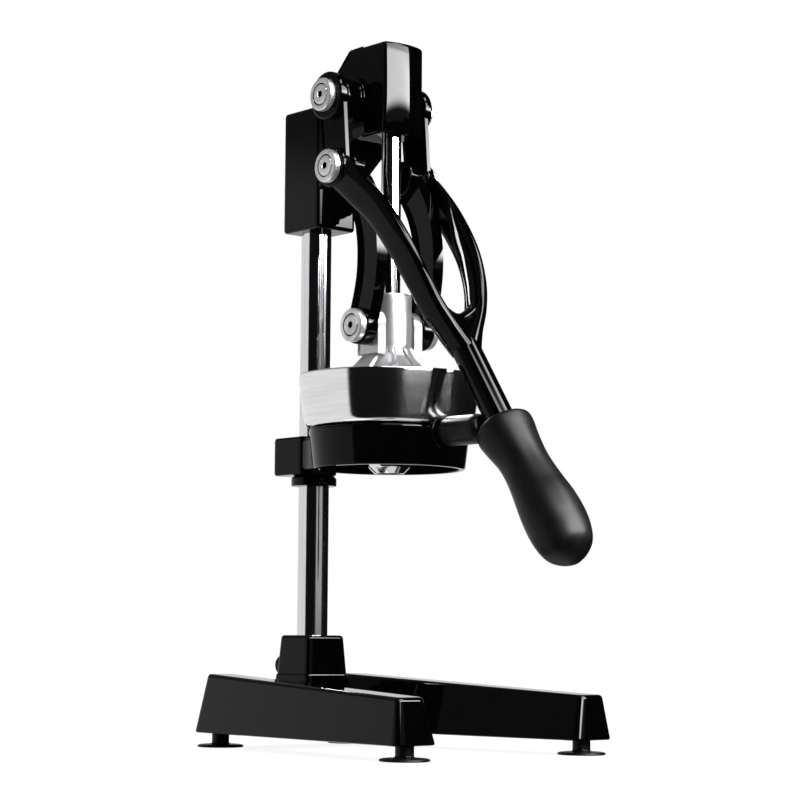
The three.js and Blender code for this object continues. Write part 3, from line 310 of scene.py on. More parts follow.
def bend(before, corner, after, radius, most, steps):
    """The points that round a corner, over no more than a share of either edge."""
    back, ahead = before - corner, after - corner
    reach = min(radius, back.length * most, ahead.length * most)
    start, end = corner + back.normalized() * reach, corner + ahead.normalized() * reach
    shares = (i / steps for i in range(steps + 1))
    return [start * (1 - t) ** 2 + corner * 2 * t * (1 - t) + end * t ** 2 for t in shares]


def eased(profile, ease=0.4, steps=3):
    """Rounds the corners of an open profile."""
    points = [Vector(point) for point in profile]
    made = [points[0]]
    for before, corner, after in zip(points, points[1:], points[2:]):
        made += bend(before, corner, after, ease, 0.45, steps)
    return [tuple(point) for point in made + [points[-1]]]


def corners_round(corners, radius, steps=6):
    """A closed outline with each corner rounded."""
    points = [Vector(corner) for corner in corners]
    made = []
    for before, corner, after in zip(points[-1:] + points, points, points[1:] + points[:1]):
        made += bend(before, corner, after, radius, 0.48, steps)
    return made


def post(mesh, levels, steps=6):
    """A cast post from (corners, corner radius, height or height over forward) levels."""
    rings = []
    for corners, radius, height in levels:
        height_at = height if callable(height) else lambda forward, up=height: up
        ring = corners_round(corners, radius, steps)
        rings.append([at(point.x, point.y, height_at(point.y)) for point in ring])
    skin(mesh, rings)


def oblong(half, rear, front):
    """The four corners of an upright piece that is half to each side of the middle."""
    return [(-half, rear), (-half, front), (half, front), (half, rear)]


def piece(name, mesh, material, slot, body, *nodes, sharp=38):
    """Turns the mesh into an object that stands for its nodes and moves with its body."""
    bmesh.ops.remove_doubles(mesh, verts=mesh.verts, dist=1e-7)
    bmesh.ops.recalc_face_normals(mesh, faces=mesh.faces)
    for face in mesh.faces:
        face.smooth = True
    for edge in mesh.edges:
        edge.smooth = len(edge.link_faces) == 2 and edge.calc_face_angle() < math.radians(sharp)
    data = bpy.data.meshes.new(name)
    mesh.to_mesh(data)
    mesh.free()
    data.materials.append(material)
    made = bpy.data.objects.new(name, data)
    bpy.context.scene.collection.objects.link(made)
    flats = made.modifiers.new("flat_faces_stay_flat", "WEIGHTED_NORMAL")
    flats.keep_sharp = True
    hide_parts(*nodes)
    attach(made, body)
    return made


# Surface marks: broad, soft patches between a low and a high value, and a fine grain for the bumps.
surface_marks = bpy.data.node_groups.new("surface_marks", "ShaderNodeTree")
for label, kind, role in (
    ("Scale", "Float", "INPUT"), ("Low", "Float", "INPUT"), ("High", "Float", "INPUT"),
    ("Stretch", "Vector", "INPUT"), ("Value", "Float", "OUTPUT"), ("Fine", "Float", "OUTPUT"),
):
    surface_marks.interface.new_socket(label, in_out=role, socket_type=f"NodeSocket{kind}")
given = surface_marks.nodes.new("NodeGroupInput").outputs
fine_ratio = 9
where = put(surface_marks, "ShaderNodeTexCoord").outputs["Object"]
stretched = put(surface_marks, "ShaderNodeVectorMath", "MULTIPLY", _0=where, _1=given["Stretch"]).outputs[0]
broad = put(surface_marks, "ShaderNodeTexNoise", Vector=stretched, Scale=given["Scale"], Detail=5)
fine_scale = times(surface_marks, given["Scale"], fine_ratio)
fine = put(surface_marks, "ShaderNodeTexNoise", Vector=stretched, Scale=fine_scale, Detail=3)
spread = put(
    surface_marks, "ShaderNodeMapRange",
    Value=broad.outputs["Fac"], From_Min=0.3, From_Max=0.7, To_Min=given["Low"], To_Max=given["High"],
)
put(surface_marks, "NodeGroupOutput", Value=spread.outputs[0], Fine=fine.outputs["Fac"])


def finish(name, dark, light, rough, metal, scale, bump, stretch=(1, 1, 1), specular=0.5, grain=0.5):
    """A material whose colour and roughness vary between two values, with fine bumps on its skin."""
    made = bpy.data.materials.new(name)
    made.use_nodes = True
    tree = made.node_tree
    shader = tree.nodes["Principled BSDF"]
    shader.inputs["Metallic"].default_value = metal
    shader.inputs["Specular IOR Level"].default_value = specular
    gloss_scale = scale * 0.6
    marks = []
    for marks_scale, low, high in ((scale, 0, 1), (gloss_scale, *rough)):
        marks.append(tree.nodes.new("ShaderNodeGroup"))
        marks[-1].node_tree = surface_marks
        for label, value in (("Scale", marks_scale), ("Stretch", stretch), ("Low", low), ("High", high)):
            marks[-1].inputs[label].default_value = value
    tint, gloss = marks
    colour = tree.nodes.new("ShaderNodeMix")
    colour.data_type = "RGBA"
    # The mix node's sockets share their names, so the ones for colour are picked by place.
    share, first, second, mixed = *(colour.inputs[i] for i in (0, 6, 7)), colour.outputs[2]
    first.default_value = (*dark, 1)
    second.default_value = (*light, 1)
    tree.links.new(tint.outputs["Value"], share)
    tree.links.new(mixed, shader.inputs["Base Color"])
    tree.links.new(gloss.outputs["Value"], shader.inputs["Roughness"])
    skin_bump = put(tree, "ShaderNodeBump", Strength=grain, Distance=bump, Height=tint.outputs["Fine"])
    tree.links.new(skin_bump.outputs["Normal"], shader.inputs["Normal"])
    return made


enamel = finish(
    "black_enamel", (0.0006, 0.0007, 0.0009), (0.0013, 0.0014, 0.0018), (0.02, 0.06),
    metal=0, scale=90, bump=0.000006, specular=0.12,
)


def leg_top(forward):
    """The height of a leg's ridge, which falls toward the front."""
    return leg_front_high + leg_rise * (leg_front_top - forward) / (leg_front_top - leg_rear_top)


def leg_corners(out, width, rear, front, side):
    """A leg's four corners, moved in from the foot's outer side by out, at one height."""
    rear_across, front_across = (leg_out + leg_splay * (place - leg_front) - out for place in (rear, front))
    return [
        (side * (rear_across - width), rear), (side * (front_across - width), front),
        (side * front_across, front), (side * rear_across, rear),
    ]


for side in (-1, 1):
    levels = []
    for back, corner, up in ((1.1, 5.8, 0), (0.3, 6.6, 0.4), (0.1, 6.9, 1.4)):
        corners = leg_corners(back, foot_wide - 2 * back, leg_rear + back, leg_front - back, side)
        levels.append((corners, corner, leg_low + up))
    for drop, back in ((2.4, 0), (1.3, 0.35), (0.5, 0.95), (0, 2)):
        corners = leg_corners(
            ridge_in + back, ridge_wide - 2 * back, leg_rear_top + back, leg_front_top - back, side)
        levels.append((corners, ridge_corner - back, lambda forward, drop=drop: leg_top(forward) - drop))
    post(stand, levels, steps=8)
bar_half, bar_front, bar_high, bar_fillet, fork_inner, arc_steps = 50, -34, 34.7, 24, 46.6, 12


def crossbar_ring(back, up):
    """The crossbar's outline at a height, leaning at the rear and filleted at its inner corners."""
    share = (up - leg_low) / lean_height
    rear = leg_rear + (leg_rear_top - leg_rear) * share + back
    arc = []
    for turn in (math.pi / 2 * i / arc_steps for i in range(arc_steps + 1)):
        across = fork_inner - bar_fillet + bar_fillet * math.sin(turn)
        arc.append((across, bar_front - back - (bar_fillet - back) * math.cos(turn)))
    half = [*arc, (bar_half, arc[-1][1]), (bar_half, rear)]
    mirror = [(-across, forward) for across, forward in reversed(half)]
    return [at(*place, up) for place in mirror + half]


skin(stand, [crossbar_ring(back, up) for back, up in (
    (1.2, leg_low), (0.3, leg_low + 0.4), (0, leg_low + 1.4),
    (0, bar_high - 1.8), (0.5, bar_high - 0.6), (1.8, bar_high),
)])
column_back = -75.4
socket_foot = ((18.6, 4.4, 31), (18.4, 4.4, 33.6), (17.5, 4.2, 45.4), (17.2, 4, 46.3), (16.2, 3.4, 46.8))
socket_wall = ((17, 4, 44), (15.25, 4, 69.2), (14.9, 3.8, 70.5), (13.9, 3.2, 71.3))
for sections in (socket_foot, socket_wall):
    post(stand, [
        (oblong(half, column_back - half, column_back + half), corner, up) for half, corner, up in sections
    ], 8)
screw_boss = [(0, -20), (7, -20), (7, 0), (6.2, 1), (3.2, 1), (3.2, -1.5), (0, -1.5)]
boss_rear, boss_up = -105.2, 51.7
spin(stand, eased(screw_boss, 0.5), at(0, boss_rear, boss_up), (0, 1, 0), 48)
piece("stand", stand, enamel, "black_enamel", "root", "stand_casting")

# Levelling feet: black rubber pads, each with a round boss, on plated studs.
# They screw in and out of the legs and stand on the worktop.
rubber = finish(
    "black_rubber", (0.003, 0.0032, 0.0037), (0.004, 0.0043, 0.0048), (0.26, 0.36),
    metal=0, scale=160, bump=0.00003, specular=0.13, grain=0.6,
)
plated = finish(
    "plated_steel", (0.42, 0.42, 0.44), (0.6, 0.6, 0.61), (0.22, 0.4), metal=1, scale=240, bump=0.00002,
)
foot_places = (
    ("front_left", -71.3, 98.6), ("front_right", 71.3, 98.6),
    ("rear_left", -53.5, -101), ("rear_right", 53.5, -101),
)
pad_profile = [
    (0, 0), (14.4, 0), (14.8, 0.5), (14.6, 1.3), (13, 1.8), (6.4, 2.3), (5.5, 2.8), (5.5, 8.8), (0, 8.8),
]
for place, across, forward in foot_places:
    pad = bmesh.new()
    spin(pad, eased(pad_profile, 0.35), at(across, forward, 0), (0, 0, 1), 64)
    piece(f"pad_{place}", pad, rubber, "rubber", "root", f"foot_pad_{place}")

# Column: a smooth chromed bar, drawn into its socket by a bolt from below.
# The push rod has the same chrome.
column = bmesh.new()
column_radius, column_low, column_high = 9.95, 24.7, 397
chrome = finish(
    "chrome_plate", (0.64, 0.66, 0.69), (0.76, 0.77, 0.79), (0.04, 0.1),
    metal=1, scale=420, bump=0.000009, stretch=(1, 1, 0.03), grain=0.8,
)


def bar(radius, low, high):
    """The profile of a plain round bar."""
    return [(0, low), (radius, low), (radius, high), (0, high)]


spin(column, eased(bar(column_radius, column_low, column_high), 1, 4), at(0, column_back, 0), (0, 0, 1), 96)
piece("column_bar", column, chrome, "chrome_plate", "root", "column")

# Head casting: the block clamped on the column, a sloping web and the cap that guides the push rod.
# Gloss black enamel with a bulged front face, round bosses for the lever's screws and a rib below.
head_pin, link_pin, lug_pin = (-19.4, 412.3), (-13.893, 365.422), (0, 263.868)
head = bmesh.new()
head_half, block_rear, block_front, block_low, block_high, block_corner = 16, -91.7, -54.1, 335.1, 415.8, 3.4
edge_steps = ((2.2, 0), (1.3, 0.2), (0.6, 0.7), (0.15, 1.5), (0, 2.4))
block_levels = [(back, block_low + up) for back, up in edge_steps]
block_levels += [(back, block_high - down) for back, down in edge_steps[::-1]]
post(head, [
    (oblong(head_half - back, block_rear + back, block_front - back), block_corner - back, up)
    for back, up in block_levels
])


def inset(outline, by):
    """A closed outline moved inward along its own normals."""
    area = sum(a.x * b.y - b.x * a.y for a, b in zip(outline, outline[1:] + outline[:1]))
    made = []
    for i, point in enumerate(outline):
        run = outline[(i + 1) % len(outline)] - outline[i - 1]
        if run.length == 0:
            run = outline[(i + 2) % len(outline)] - outline[i - 2]
        normal = Vector((-run.y, run.x)).normalized() * (1 if area > 0 else -1)
        made.append(point + normal * by)
    return made


def plate(mesh, outline, inner, outer, edge, steps=3, inward=None):
    """An upright plate from inner to outer across, its edges rounded by edge across and inward."""
    inward = inward or edge
    outline = [Vector(point) for point in outline]
    rings = []
    quarter = math.pi / 2
    for side, level in ((1, inner), (-1, outer)):
        for i in range(steps + 1):
            turn = quarter * (i / steps if side > 0 else 1 - i / steps)
            across = level + side * edge * (1 - math.sin(turn))
            ring = inset(outline, inward * (1 - math.cos(quarter - turn)))
            rings.append([at(across, point.x, point.y) for point in ring])
    skin(mesh, rings)


web_outline = [
    (-60, block_high), (block_front, block_high), (-24.4, 445.2), (-22.4, 446.1), (-10, 446.4), (-10, 388),
    (-18.4, 387.3), (-39, 372.6), (block_front, 360.1), (-60, 360.1),
]
plate(head, web_outline, -head_half, head_half, 0.9)
cap_rear, cap_front, cap_low, cap_high = -20, 12, 387.3, 446.5
tuck_high, tuck_curve, face_steps = 22, 314, 24


def cap_ring(back, bulge, up):
    """The cap's outline at a height: square behind, bulged in front and tucked in near its foot."""
    tuck = max(0, cap_low + tuck_high - up) ** 2 / tuck_curve
    half, front = head_half - back, cap_front - back - tuck
    face_half, face = half - 0.9, front - 0.15
    corner = [(face_half, face), (half - 0.25, front - 1), (half, front - 2.2), (half, cap_rear + back)]
    mirror = [(-across, forward) for across, forward in reversed(corner)]
    shares = (2 * i / face_steps - 1 for i in range(1, face_steps))
    bulged = [(face_half * share, face + bulge * (1 - share ** 2)) for share in shares]
    return [at(*place, up) for place in mirror + bulged + corner]


cap_edge, face_bulge, middle_bulge, cap_steps = 3, 3.2, 0.75, 12
cap_rings = [cap_ring(back, bulge, cap_low + up) for back, bulge, up in (
    (2.6, 2, 0), (1.2, 2.6, 0.5), (0.35, 2.9, 1.5), (0, 3.1, cap_edge),
)]
for i in range(1, cap_steps):
    share = i / cap_steps
    up = cap_low + cap_edge + (cap_high - cap_low - 2 * cap_edge) * share
    cap_rings.append(cap_ring(0, face_bulge + middle_bulge * math.sin(math.pi * share), up))
cap_rings += [cap_ring(back, bulge, cap_high - down) for back, bulge, down in (
    (0, face_bulge, cap_edge), (0.35, 3.0, 1.5), (1.2, 2.5, 0.5), (2.6, 1.8, 0),
)]
skin(head, cap_rings)
web_rib, web_rib_half = [(-58, 338), (-53.1, 339), (-53.1, 363), (-58, 363)], 1.1
plate(head, web_rib, -web_rib_half, web_rib_half, 0.5)
pin_boss = [(0, 0), (15, 0), (15, 19.6), (13, 19.6), (13, 30.6), (0, 30.6)]
for side in (-1, 1):
    spin(head, eased(pin_boss, 0.7), at(0, *head_pin), (side, 0, 0), 72)
piece("head", head, enamel, "black_enamel", "root", "head_casting")

# Cup bracket: ring with a deck and a hub for the spout, a sloping neck and the collar on the column.
# Cast in one and enamelled; six ribs stiffen the deck from below and a boss holds the bumper.
bracket = bmesh.new()
ring_low, ring_high = 174.97, 199.97
ring_profile = [
    (47.7, ring_low + 0.6), (48.1, ring_low + 1.4), (50.65, ring_high - 2), (50.45, ring_high - 0.8),
    (49.8, ring_high - 0.15), (49, ring_high), (19.5, ring_high), (19, ring_high - 0.4),
    (19, ring_high - 2), (16.8, ring_high - 2), (16.8, ring_high - 12), (22.5, ring_high - 12),
    (23, ring_high - 11.5), (23, ring_high - 4.8), (23.8, ring_high - 4), (45.6, ring_high - 4),
    (46.4, ring_high - 4.8), (44.2, ring_low + 0.6), (44.6, ring_low), (47.1, ring_low),
]
spin(bracket, ring_profile, at(0, 0, 0), (0, 0, 1), 112, closed=True)
rib_count, rib_middle, rib_long, rib_thick, rib_deep, rib_drop, rib_draft = 6, 34, 23, 2.8, 13, 10.2, 0.15
for i in range(rib_count):
    rib = bmesh.new()
    bmesh.ops.create_cube(rib, size=1)
    turn = (i + 0.5) * 2 * math.pi / rib_count
    for vert in rib.verts:
        draft = 1 - rib_draft * (vert.co.z < 0)
        out, aside = rib_middle + vert.co.x * rib_long, vert.co.y * rib_thick * draft
        across = aside * math.cos(turn) + out * math.sin(turn)
        forward = out * math.cos(turn) - aside * math.sin(turn)
        vert.co = at(across, forward, ring_high - rib_drop + vert.co.z * rib_deep)
    rib_mesh = bpy.data.meshes.new("rib")
    rib.to_mesh(rib_mesh)
    rib.free()
    bracket.from_mesh(rib_mesh)
    bpy.data.meshes.remove(rib_mesh)
neck_high, neck_low = ring_high - 1.2, ring_low + 2.2


def neck_ring(forward, half, low):
    """The neck's rounded section at one place forward."""
    corners = corners_round([(-half, low), (-half, neck_high), (half, neck_high), (half, low)], 3, 5)
    return [at(point.x, forward, point.y) for point in corners]


skin(bracket, [neck_ring(forward, half, neck_low - drop) for forward, half, drop in (
    (-74, 14.2, 0), (-69, 14.4, 0), (-62, 16, 0.2), (-55, 18.7, 0.5), (-47.4, 22, 0.8), (-45, 22.2, 0.8),
)])
collar_half, collar_rear, collar_front, collar_corner = 15.5, -100.4, -68.4, 4.9
collar_levels = (
    (2, ring_low), (0.6, ring_low + 0.4), (0, ring_low + 2),
    (0, ring_high - 2), (0.6, ring_high - 0.4), (2, ring_high),
)
post(bracket, [
    (oblong(collar_half - back, collar_rear + back, collar_front - back), collar_corner - back, up)
    for back, up in collar_levels
], 8)
boss_radius, boss_start, boss_end, bumper_up = 10.5, 44, 52.4, 195.47
spin(bracket, eased(bar(boss_radius, boss_start, boss_end), 0.8), at(0, 0, bumper_up), (0, -1, 0), 48)
piece("bracket", bracket, enamel, "black_enamel", "root", "cup_bracket")

# Bumper: a soft black rubber button that the lever's grip comes to rest against.
# Pressed on a plated stud in the front of the ring.
bumper_start = 55.2
bumper_profile = [(0, 0), (9.2, 0), (9.2, 27.6), (7.9, 31.4), (4.2, 33.2), (0, 33.2)]
bumper = bmesh.new()
spin(bumper, eased(bumper_profile, 2.6, 5), at(0, bumper_start, bumper_up), (0, -1, 0), 64)
piece("bumper_button", bumper, rubber, "rubber", "root", "bumper")

# Lock collar: a turned black collar under the bracket, coned at the top and held by its own set screw.
# It keeps the bracket at its height on the column.
lock_profile = [
    (10.15, 167.9), (10.6, 167.82), (14.1, 167.82), (14.6, 168), (14.8, 168.5), (14.8, 172.6), (14.6, 173.1),
    (12.8, 175.1), (12.5, 175.35), (10.6, 175.42), (10.15, 175.3),
]
lock = bmesh.new()
spin(lock, lock_profile, at(0, column_back, 0), (0, 0, 1), 80, closed=True)
piece("stop_collar", lock, enamel, "black_enamel", "root", "lock_collar")

# Spout: thin stainless drop tube hanging by its flange in the hub, narrowed to a short lip.
# Spun from sheet, so its brushing runs round it.
stainless = finish(
    "stainless_spun", (0.74, 0.74, 0.745), (0.86, 0.86, 0.86), (0.1, 0.14),
    metal=1, scale=26, bump=0.000002, stretch=(1, 1, 14), grain=0.4,
)
turned_round = stainless.node_tree.nodes.new("ShaderNodeTangent")
turned_round.direction_type = "RADIAL"
turned_round.axis = "Z"
brushed = stainless.node_tree.nodes["Principled BSDF"].inputs
stainless.node_tree.links.new(turned_round.outputs[0], brushed["Tangent"])
brushed["Anisotropic"].default_value = 0.85
brushed["Anisotropic Rotation"].default_value = 0.25
spout_profile = [
    (15.3, 199.47), (18.4, 199.47), (18.7, 199.17), (18.7, 198.57), (18.4, 198.27), (16.8, 198.27),
    (16.5, 197.97), (16.5, 188.2), (16.2, 187.2), (13.2, 176.9), (12.7, 175.9), (9.7, 172.8), (9.3, 172.4),
    (8.9, 172.37), (8.1, 172.4), (8.3, 172.9), (11.6, 176.6), (12, 177.4), (15, 187.6), (15.3, 188.6),
]
spout = bmesh.new()
spin(spout, spout_profile, at(0, 0, 0), (0, 0, 1), 80, closed=True)
piece("drop_tube", spout, stainless, "stainless", "root", "spout")

# Juice bowl: spun stainless cup with a rounded rim, a straight conical wall and a small round at the floor.
# It sits loose on the bracket's deck, its outlet over the spout.
bowl_low, bowl_wall, outlet_radius, round_high = 200.27, 1.2, 17, 8
outer = [
    (57.5, 32.9), (57.3, 31), (56.8, 26.2), (56.1, 20), (55.4, 14.8), (54.7, 10.4), (54, 6.4), (53.5, 4),
    (52.9, 2.5), (52, 1.3), (50.8, 0.5), (49.2, 0.1), (47, 0),
]
rim = [(57.1, 33.5), (56.7, 33.6), (56.3, 33.4)]
inner = []
for radius, up in outer:
    inward, lift = (0.98, 0.4 if up < 12 else 0) if up > round_high else (0.72, bowl_wall)
    inner.append((radius - bowl_wall * inward, up + lift))
bowl_profile = [(outlet_radius, 0), *reversed(outer), *rim, *inner, (outlet_radius, bowl_wall)]
bowl = bmesh.new()
spin(bowl, [(radius, bowl_low + up) for radius, up in bowl_profile], at(0, 0, 0), (0, 0, 1), 128, closed=True)
piece("bowl", bowl, stainless, "stainless", "root", "juice_bowl", sharp=50)

# Reamer cone: cast aluminium with nine soft flutes running to a blunt tip.
# It stands on the slotted strainer plate inside the bowl and half a fruit is pressed on it.
tumbled = finish(
    "tumbled_aluminium", (0.42, 0.42, 0.43), (0.54, 0.54, 0.55), (0.27, 0.31),
    metal=0.6, scale=70, bump=0.00004,
)
cone = bmesh.new()
cone_low, cone_high, tip_radius, cone_spread, cone_flare, cone_dome = 203.4, 227.4, 5, 27, 0.95, 1.1
flutes, flute_depth, cone_rings, cone_steps = 9, 0.07, 16, 108
rings = []
for i in range(cone_rings):
    share = i / cone_rings
    radius = tip_radius + cone_spread * math.cos(share * math.pi / 2) ** cone_flare
    up = cone_low + (cone_high - cone_low) * math.sin(share * math.pi / 2) ** cone_dome
    depth = flute_depth * min(1, 3 * share + 0.1) * (1 - share)
    ring = []
    for turn in turns(cone_steps):
        out = radius * (1 + depth * math.cos(flutes * turn))
        ring.append(at(out * math.cos(turn), out * math.sin(turn), up))
    rings.append(ring)
skin(cone, [*rings, [at(0, 0, cone_high)]])
piece("reamer", cone, tumbled, "cast_aluminium", "root", "reamer_cone")

# Lever: a fork of two flat arms with eyes and round pivot discs, a web and the stem for the grip.
# Cast in one and enamelled like the stand; its eyes turn on bronze bushes.
lever = bmesh.new()


def smooth_path(points, steps):
    """A Catmull-Rom line through equal-length tuples."""
    made = []
    ends = [points[0], *points, points[-1]]
    for a, b, c, d in zip(ends, ends[1:], ends[2:], ends[3:]):
        for i in range(steps):
            t = i / steps
            made.append(tuple(
                0.5 * (
                    2 * q + (r - p) * t + (2 * p - 5 * q + 4 * r - s) * t * t
                    + (3 * q - p - 3 * r + s) * t ** 3
                ) for p, q, r, s in zip(a, b, c, d)
            ))
    return made + [tuple(points[-1])]


def neighbours(line, i):
    """The points before and after point i of a line, kept within its ends."""
    return line[max(i - 1, 0)], line[min(i + 1, len(line) - 1)]


arm_across, arm_forward, arm_down = 35.5, 85.2, 121.1
arm_half, arm_depth, face_power, edge_power, arm_steps = 10, 4.25, 0.7, 0.84, 28
arm_shape = (
    (1, 0, 0, 1.06, 0.62), (0.96, 0.2, 0.115, 1.06, 0.76), (0.87, 0.428, 0.262, 1.01, 0.95),
    (0.8, 0.639, 0.452, 0.97, 1), (0.68, 0.78, 0.63, 0.94, 1), (0.51, 0.865, 0.78, 0.92, 1),
    (0.28, 0.93, 0.9, 0.9, 1.1), (0.06, 1, 1, 0.88, 1.5),
)
arm_points = []
for out, ahead, down, half, depth in arm_shape:
    place = (arm_across * out, link_pin[0] + arm_forward * ahead, link_pin[1] - arm_down * down)
    arm_points.append((*place, arm_half * half, arm_depth * depth))
arm_line = smooth_path(arm_points, 7)
for side in (-1, 1):
    rings = []
    for i, (across, forward, up, half, depth) in enumerate(arm_line):
        middle = Vector((side * across, forward, up))
        before, after = (Vector((side * point[0], *point[1:3])) for point in neighbours(arm_line, i))
        run = (after - before).normalized()
        flat = Vector((0, run.z, -run.y)).normalized()
        thin = run.cross(flat).normalized()
        ring = []
        for turn in turns(arm_steps):
            cosine, sine = math.cos(turn), math.sin(turn)
            wide = math.copysign(abs(cosine) ** face_power, cosine) * half
            deep = math.copysign(abs(sine) ** edge_power, sine) * depth
            ring.append(at(*(middle + flat * wide + thin * deep)))
        rings.append(ring)
    skin(lever, rings)


def side_faces(side, inner, outer):
    """The two faces of a plate on one side of the middle, the lower number first."""
    return sorted((side * inner, side * outer))


eye_run = Vector((link_pin[0] - head_pin[0], link_pin[1] - head_pin[1])).normalized()
eye_side = Vector((-eye_run.y, eye_run.x))
disc_inner, disc_outer, waist_inner, waist_outer = 32.4, 38.6, 32.9, 35.5
waist = [Vector(pin) + eye_side * aside for pin, aside in (
    (head_pin, 13.6), (head_pin, -10.4), (link_pin, -10.4), (link_pin, 12),
)]
for side in (-1, 1):
    for pin, radius in ((head_pin, 15.4), (link_pin, 13)):
        spin(lever, eased(bar(radius, disc_inner, disc_outer), 1.5, 4), at(0, *pin), (side, 0, 0), 80)
    plate(lever, waist, *side_faces(side, waist_inner, waist_outer), 1.1)

# The web closes the fork's lower end with a rounded, hollowed edge between the arms.
web_start = 0.66
fork = arm_line[int(len(arm_line) * web_start):]
web_hollow, web_half, web_swell, web_round, web_steps, half_rings = 0.34, 4.5, 1.2, 4.2, 24, 16
rings = []
for step in range(2 * half_rings + 1):
    share = step / half_rings - 1
    start = (1 - share * share) * web_hollow
    nose, upper, lower = [], [], []
    for k in range(web_steps + 1):
        place = (start + (1 - start) * k / web_steps) * (len(fork) - 1)
        low = min(int(place), len(fork) - 2)
        across, forward, up, *_ = (a + (b - a) * (place - low) for a, b in zip(fork[low], fork[low + 1]))
        run = Vector([b - a for a, b in zip(fork[low][1:3], fork[low + 1][1:3])]).normalized()
        flat = Vector((-run.y, run.x)) * (web_half + web_swell * share * share)
        upper.append(at(across * share, forward + flat.x, up + flat.y))
        lower.append(at(across * share, forward - flat.x, up - flat.y))
        if k == 0:
            for turn in radians(30, 60, 90, 120, 150):
                rise, back = flat * math.cos(turn), run * web_round * math.sin(turn)
                nose.append(at(across * share, forward + rise.x - back.x, up + rise.y - back.y))
    rings.append(upper[::-1] + nose + lower)
skin(lever, rings)
stem_forward, stem_up, stem_angle = 71.307, 244.322, math.radians(55.8)
stem_start = at(0, stem_forward, stem_up)
stem_run = Vector((0, -math.cos(stem_angle), -math.sin(stem_angle)))
stem_profile = [(0, -9), (4.4, -8.6), (7.6, -6.6), (9, -3.5), (9, 57.5), (6.5, 57.5), (6.5, 139), (0, 139)]
spin(lever, eased(stem_profile, 1, 3), stem_start, stem_run, 72)
piece("lever_fork", lever, enamel, "black_enamel", "lever", "lever_casting")

# Grip: a moulded black rubber handle, waisted near its collar and full at the palm.
# Pushed over the lever's tang, it moves with the lever.
grip = bmesh.new()
grip_start, grip_end, grip_long, grip_radius, grip_bend, grip_steps = 57.8, 160.4, 102.7, 18.42, 3.7, 96
grip_shape = (
    (0.75, 0, 0), (0.93, 0.014, 0), (0.975, 0.06, -0.1), (0.92, 0.13, 0), (0.82, 0.25, 0.4),
    (0.81, 0.35, 0.6), (0.87, 0.47, 0.78), (0.965, 0.6, 0.95), (1, 0.73, 1), (0.945, 0.83, 1),
    (0.8, 0.91, 1), (0.52, 0.965, 1), (0.2, 0.9985, 1),
)
grip_line = smooth_path([
    (grip_radius * radius, grip_start + grip_long * along, grip_bend * lean)
    for radius, along, lean in grip_shape
], 5)
grip_lean = Vector((0, -math.sin(stem_angle), math.cos(stem_angle)))


def on_grip(along, lean, radius=0, turn=0):
    """A point round the grip's line, along the stem and leaned off its axis."""
    middle = stem_start + stem_run * along / 1000 + grip_lean * lean / 1000
    return middle + (Vector((1, 0, 0)) * math.cos(turn) + grip_lean * math.sin(turn)) * radius / 1000


rings = [[on_grip(grip_start, 0)]]
for radius, along, lean in grip_line:
    rings.append([on_grip(along, lean, radius, turn) for turn in turns(grip_steps)])
rings.append([on_grip(grip_end, grip_bend)])
skin(grip, rings)
grip_rubber = finish(
    "grip_rubber", (0.0016, 0.0018, 0.0021), (0.003, 0.0032, 0.0037), (0.34, 0.44),
    metal=0, scale=130, bump=0.00004, specular=0.14, grain=0.6,
)
piece("handle", grip, grip_rubber, "rubber", "lever", "grip")

# Links: a pair of flat bars, curved forward, that pull the presser down as the lever turns.
# Each has an eye on the lever's crank disc and one on the presser's lug.
link_bow, link_half, link_inner, link_outer, eye_radius = 16.2, 9.5, 19.1, 27.7, 11.6
link_way = Vector(lug_pin) - Vector(link_pin)
link_ahead = Vector((-link_way.y, link_way.x)).normalized()
link_points = [tuple(Vector(link_pin) + link_way * down + link_ahead * link_bow * bow) for down, bow in (
    (0, 0), (0.13, 0.5), (0.27, 0.84), (0.41, 1), (0.55, 0.99), (0.7, 0.82), (0.84, 0.5), (1, 0),
)]
link_line = [Vector(point) for point in smooth_path(link_points, 6)]
front_edge, rear_edge = [], []
for i, point in enumerate(link_line):
    before, after = neighbours(link_line, i)
    run = (after - before).normalized()
    flank = Vector((-run.y, run.x)) * link_half
    front_edge.append(point + flank)
    rear_edge.append(point - flank)
for side, place in ((-1, "left"), (1, "right")):
    link = bmesh.new()
    outline = front_edge + rear_edge[::-1]
    plate(link, outline, *side_faces(side, link_inner, link_outer), 3, steps=6, inward=1.2)
    for pin in (link_pin, lug_pin):
        eye = eased(bar(eye_radius, link_inner - 0.1, link_outer + 0.1), 1.3, 4)
        spin(link, eye, at(0, *pin), (side, 0, 0), 80)
    piece(f"link_bar_{place}", link, enamel, "black_enamel", f"link_{place}", f"link_{place}")

# Cup washers and socket screws: chromed dished cups, each with a hexagon-socket button screw.
# Pairs of them cap the lever's pivots, the links' upper ends and the presser's lugs.
# The cups' grooves and the hexagon sockets get black enamel inside as painted shade in these recesses (in the
# sockets partly also oil).
satin = finish(
    "satin_steel", (0.4, 0.4, 0.405), (0.72, 0.72, 0.72), (0.22, 0.36), metal=0.7, scale=90, bump=0.00003,
)
cup_hole, groove_radius, groove_floor, screw_seat = 4.1, 7.25, 2.4, 2.7
head_high, head_round, socket_floor, socket_tip, socket_steps = 2.1, 2.9, 1.2, 1.6, 72
cup_profile = [
    (cup_hole, 0), (10.3, 0), (10.6, 0.3), (10.6, 3.8), (9.9, 4.6), (groove_radius, 4.6), (7.1, groove_floor),
    (cup_hole, groove_floor),
]


def paint_recess_shade(made, middle, side, radius, low, high):
    """Gives the faces within a radius and between two places along the pin the black enamel, as painted shade
    in a recess.
    """
    made.data.materials.append(enamel)
    for face in made.data.polygons:
        off = (face.center - middle) * 1000
        if math.hypot(off.y, off.z) < radius and low < off.x * side < high:
            face.material_index = 1


